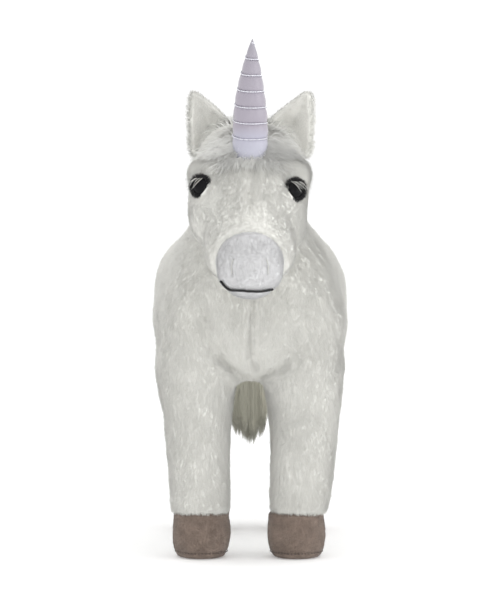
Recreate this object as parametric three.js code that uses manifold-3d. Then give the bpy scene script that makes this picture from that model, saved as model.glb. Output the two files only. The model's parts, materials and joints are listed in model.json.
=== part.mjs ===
// A standing plush unicorn: stuffed plush panels, a satin horn, safety eyes and velour hooves.
// Millimetres, +Z up. It faces -Y, and left and right are its own, so its left side is +X.
// Every body that moves is a group at its joint, and the whole stands with its origin under its centre.

import * as THREE from "three";
import { mergeVertices } from "three/addons/utils/BufferGeometryUtils.js";
import Module from "manifold-3d";

const wasm = await Module();
wasm.setup();

// Cloth and clearances
const gap = 0.3; // between pieces that touch
const play = 0.6; // between bodies that turn on each other
const plush = 3; // plush cloth, backing and pile
const velour = 2.5; // hoof cloth
const satin = 1.2; // horn cloth

// Body
const bodyLength = 322;
const bodyWidth = 184;
const bodyHeight = 152;
const bellyHeight = 162;
const chestY = -118;
const barrelEnds = 3.2; // how square the barrel's ends are: 2 is an ellipsoid
const barrelSection = 2.3; // how square its section is
const bellyPanelWidth = 30;

// Neck
const nodY = -48;
const nodHeight = 282;
const neckRootRadius = 46;
const neckRootWidth = 116;
const neckRadius = 46;
const neckY = -80;
const neckTop = 335;
const neckFrontBottom = 262;
const nod = 12; // degrees each way
const turn = 20;

// Head
const headWidth = 112;
const headDepth = 98;
const muzzleWidth = 61;
const mouthHeight = 250;
const mouthWidth = 46;
const mouthSmile = 4;
const nostrilSpread = 15;
const nostrilTop = 277;
const nostrilLength = 14;

// Eyes
const eyeRadius = 8.2;
const eyeBulge = 5.5;
const eyeInset = 12; // from the head's widest to the middle of the eye
const eyeSpread = headWidth / 2 - eyeInset;
const eyeHeight = 341;
const eyeForward = 0.5; // how far the eye turns from the cloth's own direction to the front
const stemRadius = 2;
const stemLength = 13;
const washerRadius = 8;
const washerThickness = 1.6;
const washerDepth = 5;
const lashWidth = 2.6;

// Horn
const hornLength = 101;
const hornRadius = 15.4;
const hornLean = 12; // degrees towards the front
const hornFlex = 9;
const hornTurns = 6.4;
const hornPitch = 14;
const threadRadius = 0.6;
const threadStart = 10;
const threadRoom = 2 * threadRadius + gap + play; // round the horn, for its thread
const foreheadHem = 3; // of the forehead panel, beside the horn
const foreheadWidth = 2 * (hornRadius + threadRoom + foreheadHem);
const hornPivot = new THREE.Vector3(0, -141, 371);

// Ears
const earHeight = 45;
const earWidth = 40;
const earThickness = 4;
const earLining = 2;
const earRootRadius = 6.5;
const earSlant = 38; // degrees that the root slopes down outwards
const earInset = 20; // from the head's widest to the middle of the ear's root
const earPivot = new THREE.Vector3(headWidth / 2 - earInset, -92, 384);

// Legs and hooves
const legTopRadius = 33;
const legFootRadius = 27.5;
const hipStance = 52;
const hipWidth = 66;
const footStance = 45;
const legSwing = 12;
const hoofHeight = 42;
const hoofRadius = 26.8;
const soleThickness = 5;
const soleRadius = 22.5;
const ends = {
  front: { y: -76, hipHeight: 166, hipRadius: 34 },
  hind: { y: 124, hipHeight: 170, hipRadius: 38 },
};

// Tail, forelock and mane
const tailLength = 180;
const tailWidth = 58;
const tailDepth = 22;
const dockRadius = 10;
const dockWidth = 26;
const dockDrop = 18; // from the lift axis down to the swing axis
const dockReach = 20; // from the lift axis back to the middle of the tail
const tailTopRadius = 12;
const tailLift = 70;
const dockPivot = new THREE.Vector3(0, chestY + bodyLength - 8, 270);
const hairThickness = 5;
const hairWidth = 20;
const forelockLength = 36;
const napeAngle = 50; // degrees up the neck's root to where the mane starts

const sides = [
  ["left", 1],
  ["right", -1],
];
const X = new THREE.Vector3(1, 0, 0);
const Z = new THREE.Vector3(0, 0, 1);
const rad = THREE.MathUtils.degToRad;

const white = new THREE.MeshStandardMaterial({ color: 0xdedcd2, roughness: 0.95 });
const cream = new THREE.MeshStandardMaterial({ color: 0xe2ded2, roughness: 0.9 });
const shortPile = new THREE.MeshStandardMaterial({ color: 0xdcdce0, roughness: 0.9 });
const fibre = new THREE.MeshStandardMaterial({ color: 0xf2f2f0, roughness: 1 });
const taupe = new THREE.MeshStandardMaterial({ color: 0x7d6e66, roughness: 0.95 });
const lilac = new THREE.MeshStandardMaterial({ color: 0xc8bcd2, roughness: 0.35 });
const silver = new THREE.MeshStandardMaterial({ color: 0xe6e6ee, roughness: 0.3, metalness: 0.5 });
const black = new THREE.MeshStandardMaterial({ color: 0x0a0a0b, roughness: 0.15 });
const blackThread = new THREE.MeshStandardMaterial({ color: 0x111112, roughness: 0.8 });
const washerPlastic = new THREE.MeshStandardMaterial({ color: 0xe8e8e4, roughness: 0.6 });

// ---------------------------------------------------------------- tools

/** The solid inside a closed geometry. */
function solid(geometry) {
  const bare = geometry.clone();
  bare.deleteAttribute("normal");
  bare.deleteAttribute("uv");
  const welded = mergeVertices(bare, 1e-4);
  const corners = welded.index.array;
  const triangles = [];
  for (let i = 0; i < corners.length; i += 3) {
    const [a, b, c] = corners.slice(i, i + 3);
    if (a !== b && b !== c && c !== a) triangles.push(a, b, c);
  }
  const vertProperties = new Float32Array(welded.attributes.position.array);
  const triVerts = new Uint32Array(triangles);
  return new wasm.Manifold(new wasm.Mesh({ numProp: 3, vertProperties, triVerts }));
}

/** A solid's faces as a geometry. */
function faces(shape) {
  const mesh = shape.getMesh();
  const geometry = new THREE.BufferGeometry();
  geometry.setAttribute("position", new THREE.BufferAttribute(mesh.vertProperties, 3));
  geometry.setIndex(new THREE.BufferAttribute(mesh.triVerts, 1));
  geometry.computeVertexNormals();
  return geometry;
}

/** Everything on the side of a plane that its normal points to. */
function beyond(point, normal) {
  const reach = 1500;
  const block = new THREE.BoxGeometry(reach, reach, reach).translate(0, 0, reach / 2);
  block.applyQuaternion(new THREE.Quaternion().setFromUnitVectors(Z, normal.clone().normalize()));
  return solid(block.translate(point.x, point.y, point.z));
}

function box(low, high) {
  const size = high.clone().sub(low);
  const middle = high.clone().add(low).multiplyScalar(0.5);
  return solid(new THREE.BoxGeometry(size.x, size.y, size.z).translate(middle.x, middle.y, middle.z));
}

/** A cylinder about the line through a point along an axis. */
function drum(radius, length, at, axis, segments = 32) {
  const geometry = new THREE.CylinderGeometry(radius, radius, length, segments);
  const turn = new THREE.Quaternion().setFromUnitVectors(new THREE.Vector3(0, 1, 0), axis);
  return solid(geometry.applyQuaternion(turn).translate(at.x, at.y, at.z));
}

/**
 * A closed skin through elliptical rings, listed from the top down. A ring has its centre x, y, z, its
 * half sizes across (along X) and deep, and its tilt in degrees: how far its top leans to the front.
 */
function skin(rings, { around = 24, between = 1 } = {}) {
  const centres = new THREE.CatmullRomCurve3(rings.map((r) => new THREE.Vector3(r.x ?? 0, r.y, r.z)));
  const sizes = new THREE.CatmullRomCurve3(
    rings.map((r) => new THREE.Vector3(r.across, r.deep, rad(r.tilt ?? 0))),
  );
  const steps = (rings.length - 1) * between;
  const geometry = new THREE.CylinderGeometry(1, 1, 1, around, steps);
  const points = geometry.attributes.position;
  const point = new THREE.Vector3();
  for (let i = 0; i < points.count; i++) {
    point.fromBufferAttribute(points, i);
    const along = Math.round((0.5 - point.y) * steps) / steps;
    const size = sizes.getPoint(along);
    point.set(point.x * size.x, -point.z * size.y, 0);
    point.applyAxisAngle(X, size.z).add(centres.getPoint(along));
    points.setXYZ(i, point.x, point.y, point.z);
  }
  return geometry;
}

/** The form made larger by the same amount on each of its sides, or smaller. */
function grown(geometry, amount) {
  geometry.computeBoundingBox();
  const centre = geometry.boundingBox.getCenter(new THREE.Vector3());
  const size = geometry.boundingBox.getSize(new THREE.Vector3());
  const share = (length) => (length + 2 * amount) / length;
  return geometry
    .clone()
    .translate(-centre.x, -centre.y, -centre.z)
    .scale(share(size.x), share(size.y), share(size.z))
    .translate(centre.x, centre.y, centre.z);
}

/** A shape turned about a line by some degrees. */
function turned(shape, pivot, axis, degrees) {
  const matrix = new THREE.Matrix4().makeTranslation(pivot.x, pivot.y, pivot.z);
  matrix.multiply(new THREE.Matrix4().makeRotationAxis(axis, rad(degrees)));
  matrix.multiply(new THREE.Matrix4().makeTranslation(-pivot.x, -pivot.y, -pivot.z));
  return shape.transform(matrix.elements);
}

/** All the room that a shape takes as it turns from one angle to another. */
function swept(shape, pivot, axis, from, to, steps = 6) {
  let room = turned(shape, pivot, axis, from);
  for (let i = 1; i <= steps; i++) {
    room = room.add(turned(shape, pivot, axis, from + ((to - from) * i) / steps));
  }
  return room;
}

/** The point of a surface that a line from far in front reaches first. */
function onFront(surface, x, z) {
  const start = new THREE.Vector3(x, -600, z);
  const ray = new THREE.Raycaster(start, new THREE.Vector3(0, 1, 0));
  return ray.intersectObject(new THREE.Mesh(surface))[0].point;
}

/** Thread along a line of points. */
function thread(points, radius, { sides: count = 5, steps = points.length * 3 } = {}) {
  const section = new THREE.Shape();
  for (let i = 0; i < count; i++) {
    const angle = (2 * Math.PI * i) / count;
    section.lineTo(radius * Math.cos(angle), radius * Math.sin(angle));
  }
  section.curves.shift(); // the line from the centre to the first corner
  const path = new THREE.CatmullRomCurve3(points);
  return new THREE.ExtrudeGeometry(section, { steps, extrudePath: path });
}

const unicorn = new THREE.Group();

/** A body that moves as one, as a group at its joint. */
function addBody(pivot, pieces) {
  const group = new THREE.Group();
  group.position.copy(pivot);
  for (const [name, geometry, material] of pieces) {
    const mesh = new THREE.Mesh(geometry.translate(-pivot.x, -pivot.y, -pivot.z), material);
    mesh.name = name;
    group.add(mesh);
  }
  unicorn.add(group);
}

// ---------------------------------------------------------------- legs

/** A leg's column from the hip down to the hoof seam, for the left side. */
function legColumn(end, grow, bottom = hoofHeight + gap) {
  const ring = (share, z) => ({
    x: THREE.MathUtils.lerp(footStance, hipStance, share),
    y: end.y,
    z,
    across: THREE.MathUtils.lerp(legFootRadius, legTopRadius, share) + grow,
    deep: THREE.MathUtils.lerp(legFootRadius, legTopRadius, share) + grow,
  });
  const middle = THREE.MathUtils.lerp(hoofHeight, end.hipHeight, 0.45);
  return solid(skin([ring(1, end.hipHeight), ring(0.5, middle), ring(0, bottom)], { around: 14 }));
}

/** The leg's rounded top, about its swing axis. */
function legHip(end, grow) {
  const hip = new THREE.Vector3(hipStance, end.y, end.hipHeight);
  return drum(end.hipRadius + grow, hipWidth + 2 * grow, hip, X, 20);
}

function legForm(end, grow, bottom) {
  return legColumn(end, grow, bottom).add(legHip(end, grow));
}

/** The hoof's bulging side, between two heights. */
function hoofForm(end, grow, low, high) {
  const ring = (z, radius) => {
    return { x: footStance, y: end.y, z, across: radius + grow, deep: radius + grow };
  };
  const middle = soleThickness + (hoofHeight - soleThickness) * 0.4;
  return solid(
    skin([ring(high, legFootRadius - 1.5), ring(middle, hoofRadius), ring(low, soleRadius + 3)], {
      around: 14,
    }),
  );
}

const legs = Object.entries(ends).map(([name, end]) => {
  const hip = new THREE.Vector3(hipStance, end.y, end.hipHeight);
  const cover = legForm(end, 0).subtract(legForm(end, -plush, hoofHeight - plush));
  const hoofLow = soleThickness + gap;
  const stuffing = legForm(end, -plush - gap).add(
    hoofForm(end, -velour - gap, hoofLow, hoofHeight + 2 * gap),
  );
  const hoof = hoofForm(end, 0, hoofLow, hoofHeight).subtract(
    hoofForm(end, -velour, hoofLow - gap, hoofHeight + gap),
  );
  const soleRing = (z, radius) => ({ x: footStance, y: end.y, z, across: radius, deep: radius });
  const sole = skin(
    [
      soleRing(soleThickness, soleRadius + 2.5),
      soleRing(soleThickness / 2, soleRadius + 1.5),
      soleRing(0, soleRadius),
    ],
    { around: 14 },
  );
  const room = swept(legColumn(end, play), hip, X, -legSwing, legSwing).add(legHip(end, play));
  return { name, end, hip, cover, stuffing, hoof, sole: solid(sole), room };
});

/** The same shape on the left or the right side. */
function onSide(shape, sign) {
  return sign > 0 ? shape : shape.mirror([1, 0, 0]);
}

for (const leg of legs) {
  for (const [side, sign] of sides) {
    const pivot = new THREE.Vector3(sign * hipStance, leg.end.y, leg.end.hipHeight);
    const where = `${leg.name}_${side}`;
    addBody(pivot, [
      [`leg_cover_${where}`, faces(onSide(leg.cover, sign)), white],
      [`leg_stuffing_${where}`, faces(onSide(leg.stuffing, sign)), fibre],
      [`hoof_cover_${where}`, faces(onSide(leg.hoof, sign)), taupe],
      [`hoof_sole_${where}`, faces(onSide(leg.sole, sign)), taupe],
    ]);
  }
}

// ---------------------------------------------------------------- head skin

const turnPivot = new THREE.Vector3(0, neckY, neckTop);
const headLean = -59; // degrees: the rings face the nose
const muzzleLean = -48;

const headSkin = skin(
  [
    { y: -45, z: 371, across: 0.22, deep: 0.24 },
    { y: -54, z: 367, across: 0.7, deep: 0.68 },
    { y: -72, z: 358, across: 0.91, deep: 0.92 },
    { y: -98, z: 345, across: 1, deep: 1 },
    { y: -125, z: 329, across: 0.98, deep: 0.98 },
    { y: -150, z: 312, across: 0.83, deep: 0.87 },
    { y: -172, z: 294, across: 0.64, deep: 0.74, tilt: muzzleLean },
    { y: -191, z: 276, across: muzzleWidth / headWidth, deep: 0.63, tilt: muzzleLean },
    { y: -206, z: 262, across: (muzzleWidth / headWidth) * 0.9, deep: 0.57, tilt: muzzleLean },
    { y: -215, z: 256, across: (muzzleWidth / headWidth) * 0.45, deep: 0.28, tilt: muzzleLean },
  ].map((ring) => ({
    ...ring,
    tilt: ring.tilt ?? headLean,
    across: (ring.across * headWidth) / 2,
    deep: (ring.deep * headDepth) / 2,
  })),
  { around: 20 },
);

// ---------------------------------------------------------------- neck

const nodPivot = new THREE.Vector3(0, nodY, nodHeight);

/** The neck's rounded root, about the nod axis. */
function neckRoot(grow) {
  return drum(neckRootRadius + grow, neckRootWidth + 2 * grow, nodPivot, X, 24);
}

/** The neck's column, up to the head. */
function neckColumn(grow, top = neckTop) {
  const bottom = neckFrontBottom - grow;
  return drum(neckRadius + grow, top - bottom, new THREE.Vector3(0, neckY, (top + bottom) / 2), Z, 22);
}

function neckForm(grow, top) {
  return neckRoot(grow).add(neckColumn(grow, top));
}

const neckShell = neckForm(0).subtract(neckForm(-plush, neckTop + plush));
const rightHalf = beyond(new THREE.Vector3(-gap / 2, 0, 0), new THREE.Vector3(-1, 0, 0));
const leftHalf = beyond(new THREE.Vector3(gap / 2, 0, 0), X);
const halves = { left: leftHalf, right: rightHalf };

/** The mane on the neck: it clears the back as the neck nods, and the head as it turns. */
const napeStart = nodHeight + neckRootRadius * Math.sin(rad(napeAngle));
const neckMane = neckForm(hairThickness)
  .subtract(neckForm(gap))
  .subtract(swept(barrel(play), nodPivot, X, -nod, nod))
  .subtract(swept(solid(grown(headSkin, play)), turnPivot, Z, -turn, turn))
  .intersect(
    box(
      new THREE.Vector3(-hairWidth / 2, neckY + neckRadius * 0.8, napeStart),
      new THREE.Vector3(hairWidth / 2, 100, neckTop - gap),
    ),
  );

addBody(nodPivot, [
  ["neck_cover_left", faces(neckShell.intersect(leftHalf)), white],
  ["neck_cover_right", faces(neckShell.intersect(rightHalf)), white],
  ["neck_stuffing", faces(neckForm(-plush - gap, neckTop)), fibre],
  ["neck_mane", faces(neckMane), white],
]);
const neckRoom = swept(neckColumn(play), nodPivot, X, -nod, nod).add(neckRoot(play));

// ---------------------------------------------------------------- tail

const swingPivot = dockPivot.clone().add(new THREE.Vector3(0, dockReach, -dockDrop));

/** The tail's sewn root: a rolled hinge in the rump, and a tab over the hair. */
function dockRoll(grow) {
  return drum(dockRadius + grow, dockWidth + 2 * grow, dockPivot, X, 20);
}

function dockTab(grow) {
  return box(
    new THREE.Vector3(-tailTopRadius - grow, dockPivot.y, swingPivot.z - grow),
    new THREE.Vector3(
      tailTopRadius + grow,
      swingPivot.y + tailDepth / 2 - 2 + grow,
      dockPivot.z + dockRadius * 0.5 + grow,
    ),
  );
}

const Y = new THREE.Vector3(0, 1, 0);
const hairRoot = drum(tailTopRadius, tailDepth - 4, swingPivot, Y, 20);
const hairRoom = drum(tailTopRadius + play, tailDepth + 20, swingPivot, Y, 20);
const tailRing = (share, across, deep, back) => {
  return {
    y: swingPivot.y + back,
    z: swingPivot.z - share * tailLength,
    across: (across * tailWidth) / 2,
    deep: (deep * tailDepth) / 2,
  };
};
const tailHair = skin(
  [
    tailRing(0.03, 0.36, 0.76, 0),
    tailRing(0.2, 0.7, 0.95, 2),
    tailRing(0.45, 1, 1, 5),
    tailRing(0.7, 0.92, 0.9, 6),
    tailRing(0.88, 0.55, 0.6, 5),
    tailRing(1, 0.12, 0.2, 4),
  ],
  { around: 14 },
);

const dock = dockRoll(0).add(dockTab(0)).subtract(hairRoom);
addBody(dockPivot, [["tail_dock", faces(dock), white]]);
addBody(swingPivot, [["tail_hair", faces(solid(tailHair).add(hairRoot)), white]]);
const dockRoom = swept(dockTab(play), dockPivot, X, 0, tailLift).add(dockRoll(play));

// ---------------------------------------------------------------- body

/** The barrel: a superellipsoid, squarer along its length than across. */
function barrel(grow) {
  const half = new THREE.Vector3(bodyWidth / 2, bodyLength / 2, bodyHeight / 2).addScalar(grow);
  const geometry = new THREE.SphereGeometry(1, 22, 14);
  const points = geometry.attributes.position;
  const point = new THREE.Vector3();
  for (let i = 0; i < points.count; i++) {
    point.fromBufferAttribute(points, i);
    const section = Math.abs(point.x / half.x) ** barrelSection + Math.abs(point.z / half.z) ** barrelSection;
    const size = section ** (barrelEnds / barrelSection) + Math.abs(point.y / half.y) ** barrelEnds;
    point.multiplyScalar(size ** (-1 / barrelEnds));
    points.setXYZ(i, point.x, point.y, point.z);
  }
  return solid(geometry.translate(0, chestY + bodyLength / 2, bellyHeight + bodyHeight / 2));
}

let openings = neckRoom.add(dockRoom);
for (const leg of legs) openings = openings.add(leg.room).add(onSide(leg.room, -1));

const bodyShell = barrel(0).subtract(barrel(-plush)).subtract(openings);
const bellyCut = (grow) =>
  box(
    new THREE.Vector3(-bellyPanelWidth / 2 - grow, ends.front.y - grow, 0),
    new THREE.Vector3(bellyPanelWidth / 2 + grow, ends.hind.y + grow, bellyHeight + bodyHeight / 4),
  );
const bodySides = bodyShell.subtract(bellyCut(gap));

addBody(new THREE.Vector3(0, 0, 0), [
  ["body_cover_left", faces(bodySides.intersect(leftHalf)), white],
  ["body_cover_right", faces(bodySides.intersect(rightHalf)), white],
  ["belly_panel", faces(bodyShell.intersect(bellyCut(0))), white],
  ["body_stuffing", faces(barrel(-plush - gap).subtract(openings)), fibre],
]);

// ---------------------------------------------------------------- head

const hornAxis = Z.clone().applyAxisAngle(X, rad(hornLean));
const hornSeat = solid(
  new THREE.SphereGeometry(hornRadius + play, 16, 10).translate(hornPivot.x, hornPivot.y, hornPivot.z),
);

/** The room that the horn takes over its base as it flexes. */
function hornRoom(clearance) {
  const middle = hornPivot.clone().addScaledVector(hornAxis, hornLength / 2);
  const column = drum(hornRadius + clearance, hornLength, middle, hornAxis, 18);
  return swept(column, hornPivot, X, -hornFlex, hornFlex).add(hornSeat);
}

/** The ear's root line, for the left ear: it slopes down outwards. */
const earAxis = new THREE.Vector3(Math.cos(rad(earSlant)), 0, -Math.sin(rad(earSlant)));
const earGroove = drum(earRootRadius + play, earWidth + 2 * play, earPivot, earAxis, 16);

/** The left eye's place on the head, and its way: as the cloth faces there, but more to the front. */
const eyeSeat = onFront(headSkin, eyeSpread, eyeHeight);
const alongX = onFront(headSkin, eyeSpread + eyeRadius, eyeHeight)
  .sub(onFront(headSkin, eyeSpread - eyeRadius, eyeHeight));
const alongZ = onFront(headSkin, eyeSpread, eyeHeight + eyeRadius)
  .sub(onFront(headSkin, eyeSpread, eyeHeight - eyeRadius));
const eyeAxis = alongX.cross(alongZ).normalize().add(new THREE.Vector3(0, -eyeForward, 0)).normalize();

/** A cylinder on the left eye's axis, from one depth under the cloth to another. */
function eyeDrum(radius, from, to, segments = 14) {
  const middle = eyeSeat.clone().addScaledVector(eyeAxis, -(from + to) / 2);
  return drum(radius, to - from, middle, eyeAxis, segments);
}

const eyeSink = 1.5;
const eyeRoom = eyeDrum(eyeRadius + gap, -20, eyeSink)
  .add(eyeDrum(stemRadius + gap, 0, stemLength + 2))
  .add(eyeDrum(washerRadius + gap, washerDepth - gap, washerDepth + washerThickness + gap));
const washerRoom = eyeDrum(washerRadius + gap, -20, washerDepth + washerThickness + gap);

const neckClear = drum(neckRadius + play, 400, new THREE.Vector3(0, neckY, neckTop + play - 200), Z);
const earRooms = earGroove.add(onSide(earGroove, -1));
const rootRoom = swept(neckRoot(play), turnPivot, Z, -turn, turn);
const headRooms = neckClear.add(rootRoom).add(hornRoom(threadRoom)).add(earRooms);
const eyeRooms = eyeRoom.add(onSide(eyeRoom, -1));
const washerRooms = washerRoom.add(onSide(washerRoom, -1));

const headShell = solid(headSkin)
  .subtract(solid(grown(headSkin, -plush)))
  .subtract(headRooms)
  .subtract(eyeRooms);
const headStuffing = solid(grown(headSkin, -plush - gap))
  .subtract(headRooms)
  .subtract(eyeRooms)
  .subtract(washerRooms);

const noseward = new THREE.Vector3(0, -0.76, -0.65).normalize();
const muzzleSeam = new THREE.Vector3(0, -186, 280);
const muzzleShell = headShell.intersect(beyond(muzzleSeam, noseward));
const crown = headShell.subtract(beyond(muzzleSeam.clone().addScaledVector(noseward, -gap), noseward));

const underMouth = new THREE.Vector3(0, 0.25, -0.97).normalize();
const mouthLine = new THREE.Vector3(0, -222, mouthHeight);
const chin = muzzleShell.intersect(beyond(mouthLine.clone().addScaledVector(underMouth, gap), underMouth));
const muzzle = muzzleShell.subtract(beyond(mouthLine, underMouth));

/** The forehead panel's cut: a strip over the top of the head. */
function foreheadCut(grow) {
  const strip = box(
    new THREE.Vector3(-foreheadWidth / 2 - grow, -400, 0),
    new THREE.Vector3(foreheadWidth / 2 + grow, 200, 600),
  );
  const upwards = new THREE.Vector3(0, -0.515, 0.857);
  return strip.intersect(beyond(new THREE.Vector3(0, -98, 350).addScaledVector(upwards, -grow), upwards));
}

const cheeks = crown.subtract(foreheadCut(gap));

// Hair on the head, clear of the horn, its thread and the ears
const hairSkin = solid(grown(headSkin, hairThickness))
  .subtract(solid(grown(headSkin, gap * 2)))
  .subtract(hornRoom(threadRoom + gap))
  .subtract(earRooms);
const forelock = hairSkin.intersect(
  box(
    new THREE.Vector3(-hairWidth, hornPivot.y - forelockLength, eyeHeight - 4),
    new THREE.Vector3(hairWidth, hornPivot.y - 4, 600),
  ),
);
const crest = hairSkin.intersect(
  box(
    new THREE.Vector3(-hairWidth / 2, hornPivot.y + hornRadius + 10, neckTop + 6),
    new THREE.Vector3(hairWidth / 2, 0, 600),
  ),
);

// Embroidery, resting on the muzzle
const muzzleFront = grown(headSkin, gap + threadRadius * 1.5 + 0.4);
const mouthPoints = [-1, -0.6, -0.2, 0.2, 0.6, 1].map((share) => {
  const smile = mouthSmile * share ** 2;
  return onFront(muzzleFront, (share * mouthWidth) / 2, mouthHeight + smile);
});
const nostrilPoints = (sign) =>
  [0, 0.5, 1].map((share) =>
    onFront(muzzleFront, sign * (nostrilSpread + share), nostrilTop - nostrilLength * share),
  );

/** The safety eye, turned on a lathe: a dome with a stem behind it. */
function eyeTurned() {
  const dome = [];
  for (let i = 0; i <= 5; i++) {
    const angle = (Math.PI / 2) * (i / 5);
    dome.push(new THREE.Vector2(eyeRadius * Math.cos(angle), eyeBulge * Math.sin(angle)));
  }
  const profile = [
    new THREE.Vector2(0, -stemLength),
    new THREE.Vector2(stemRadius, -stemLength),
    new THREE.Vector2(stemRadius, -1),
    new THREE.Vector2(eyeRadius, -1),
    ...dome.slice(0, -1),
    new THREE.Vector2(0, eyeBulge),
  ];
  return new THREE.LatheGeometry(profile, 14);
}

/** Moves what is made about +Y onto the left eye's axis. */
function atEye(geometry, outwards) {
  const seat = eyeSeat.clone().addScaledVector(eyeAxis, outwards);
  geometry.applyQuaternion(new THREE.Quaternion().setFromUnitVectors(Y, eyeAxis));
  return solid(geometry.translate(seat.x, seat.y, seat.z));
}

const eye = atEye(eyeTurned(), 0);
const washer = eyeDrum(washerRadius, washerDepth, washerDepth + washerThickness).subtract(
  eyeDrum(stemRadius + gap, 0, 40),
);

/** A lash strip: three quarters of a ring round the dome. */
function lashStrip() {
  const arc = new THREE.Shape();
  const start = rad(-30);
  const end = rad(215);
  arc.absarc(0, 0, eyeRadius + gap + lashWidth, start, end, false);
  arc.absarc(0, 0, eyeRadius + gap, end, start, true);
  const strip = new THREE.ExtrudeGeometry(arc, { depth: 1, bevelEnabled: false, curveSegments: 10 });
  // made in the XY plane with +Y up: stood up to face +Y, with its own up staying up
  return strip.rotateX(-Math.PI / 2).rotateY(Math.PI);
}

const lashes = atEye(lashStrip(), 0.5).subtract(solid(grown(headSkin, gap)));

addBody(turnPivot, [
  ["head_cover_left", faces(cheeks.intersect(halves.left)), white],
  ["head_cover_right", faces(cheeks.intersect(halves.right)), white],
  ["forehead_panel", faces(crown.intersect(foreheadCut(0))), white],
  ["muzzle_cover", faces(muzzle), shortPile],
  ["chin_panel", faces(chin), shortPile],
  ["head_stuffing", faces(headStuffing), fibre],
  ["forelock", faces(forelock), white],
  ["poll_mane", faces(crest), white],
  ["mouth_stitching", thread(mouthPoints, threadRadius * 1.5), blackThread],
]);
for (const [side, sign] of sides) {
  addBody(turnPivot, [
    [`eye_${side}`, faces(onSide(eye, sign)), black],
    [`eye_washer_${side}`, faces(onSide(washer, sign)), washerPlastic],
    [`eyelashes_${side}`, faces(onSide(lashes, sign)), blackThread],
    [`nostril_stitch_${side}`, thread(nostrilPoints(sign), threadRadius), shortPile],
  ]);
}

// ---------------------------------------------------------------- horn

/** The horn's radius at a share of its length, from its base to its tip. */
function hornRadiusAt(share) {
  return hornRadius * Math.sin((Math.PI / 2) * Math.min(1, (1 - share) / 0.85)) ** 0.85;
}

/** The horn about +Z from its pivot, with the ball under its base when it has one. */
function hornForm(inset, ball) {
  const steps = 8;
  const length = hornLength - inset * 3;
  const profile = [];
  if (ball) {
    for (let i = 0; i < 5; i++) {
      const angle = (Math.PI / 2) * (i / 5);
      profile.push(new THREE.Vector2(Math.sin(angle), -Math.cos(angle)).multiplyScalar(hornRadius - inset));
    }
  } else {
    profile.push(new THREE.Vector2(0, inset ? -1 : 0));
    if (inset) profile.push(new THREE.Vector2(hornRadius - inset, -1));
  }
  for (let i = 0; i < steps; i++) {
    const radius = hornRadiusAt(i / steps) - inset;
    profile.push(new THREE.Vector2(Math.max(radius, 0.5), (length * i) / steps));
  }
  profile.push(new THREE.Vector2(0, length));
  return new THREE.LatheGeometry(profile, 20).rotateX(Math.PI / 2);
}

/** One helix of thread round the horn. */
function hornHelix() {
  const points = [];
  const perTurn = 18;
  const lift = threadRadius + gap;
  for (let i = 0; i <= hornTurns * perTurn; i++) {
    const turns = i / perTurn;
    const height = threadStart + hornPitch * turns;
    const radius = hornRadiusAt(height / hornLength) + lift;
    const angle = 2 * Math.PI * turns;
    points.push(new THREE.Vector3(radius * Math.cos(angle), radius * Math.sin(angle), height));
  }
  return thread(points, threadRadius, { sides: 4, steps: points.length - 1 });
}

const stand = (geometry) =>
  geometry.rotateX(rad(hornLean)).translate(hornPivot.x, hornPivot.y, hornPivot.z);

const hornInside = solid(stand(hornForm(satin, false)));
const hornShell = solid(stand(hornForm(0, false))).subtract(hornInside);
addBody(hornPivot, [
  ["horn_cover", faces(hornShell), lilac],
  ["horn_stuffing", stand(hornForm(satin + gap, true)), fibre],
  ["horn_thread", stand(hornHelix()), silver],
]);

// ---------------------------------------------------------------- ears

/** The left ear's plate: an upright triangle with a full outer edge, from above the root line. */
function earPlate(inset, thickness, front, aboveRoot) {
  const half = earWidth / 2 - inset;
  const rise = Math.tan(rad(earSlant));
  const base = aboveRoot / Math.cos(rad(earSlant));
  const tip = new THREE.Vector2(14, earHeight - inset * 1.6);
  const outline = new THREE.Shape();
  outline.moveTo(-half, half * rise + base);
  outline.lineTo(half, -half * rise + base);
  outline.quadraticCurveTo(half + 2, earHeight * 0.45, tip.x + 3, tip.y - 3);
  outline.quadraticCurveTo(tip.x, tip.y + 1, tip.x - 4, tip.y - 2);
  outline.closePath();
  const settings = { depth: thickness, bevelEnabled: false, curveSegments: 6 };
  const plate = new THREE.ExtrudeGeometry(outline, settings);
  plate.rotateX(Math.PI / 2).translate(0, front + thickness, 0);
  return plate.translate(earPivot.x, earPivot.y, earPivot.z);
}

const earBack = solid(earPlate(0, earThickness, 0, 0)).add(
  drum(earRootRadius, earWidth, earPivot, earAxis, 16),
);
const liningPlate = solid(earPlate(3, earLining, -earLining - gap, earRootRadius + gap));

for (const [side, sign] of sides) {
  const pivot = new THREE.Vector3(sign * earPivot.x, earPivot.y, earPivot.z);
  addBody(pivot, [
    [`ear_back_${side}`, faces(onSide(earBack, sign)), white],
    [`ear_lining_${side}`, faces(onSide(liningPlate, sign)), cream],
  ]);
}

// ---------------------------------------------------------------- stand it on its origin

const bounds = new THREE.Box3().setFromObject(unicorn);
const middle = bounds.getCenter(new THREE.Vector3());
unicorn.position.set(-middle.x, -middle.y, -bounds.min.z);

export default unicorn;
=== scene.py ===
"""A standing plush unicorn: stuffed plush panels with pile, a satin horn, safety eyes, velour hooves.

Lengths are millimetres in the shared frame, +Z up, with the toy facing -Y and its left side at +X.
"""
import json
import math

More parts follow.
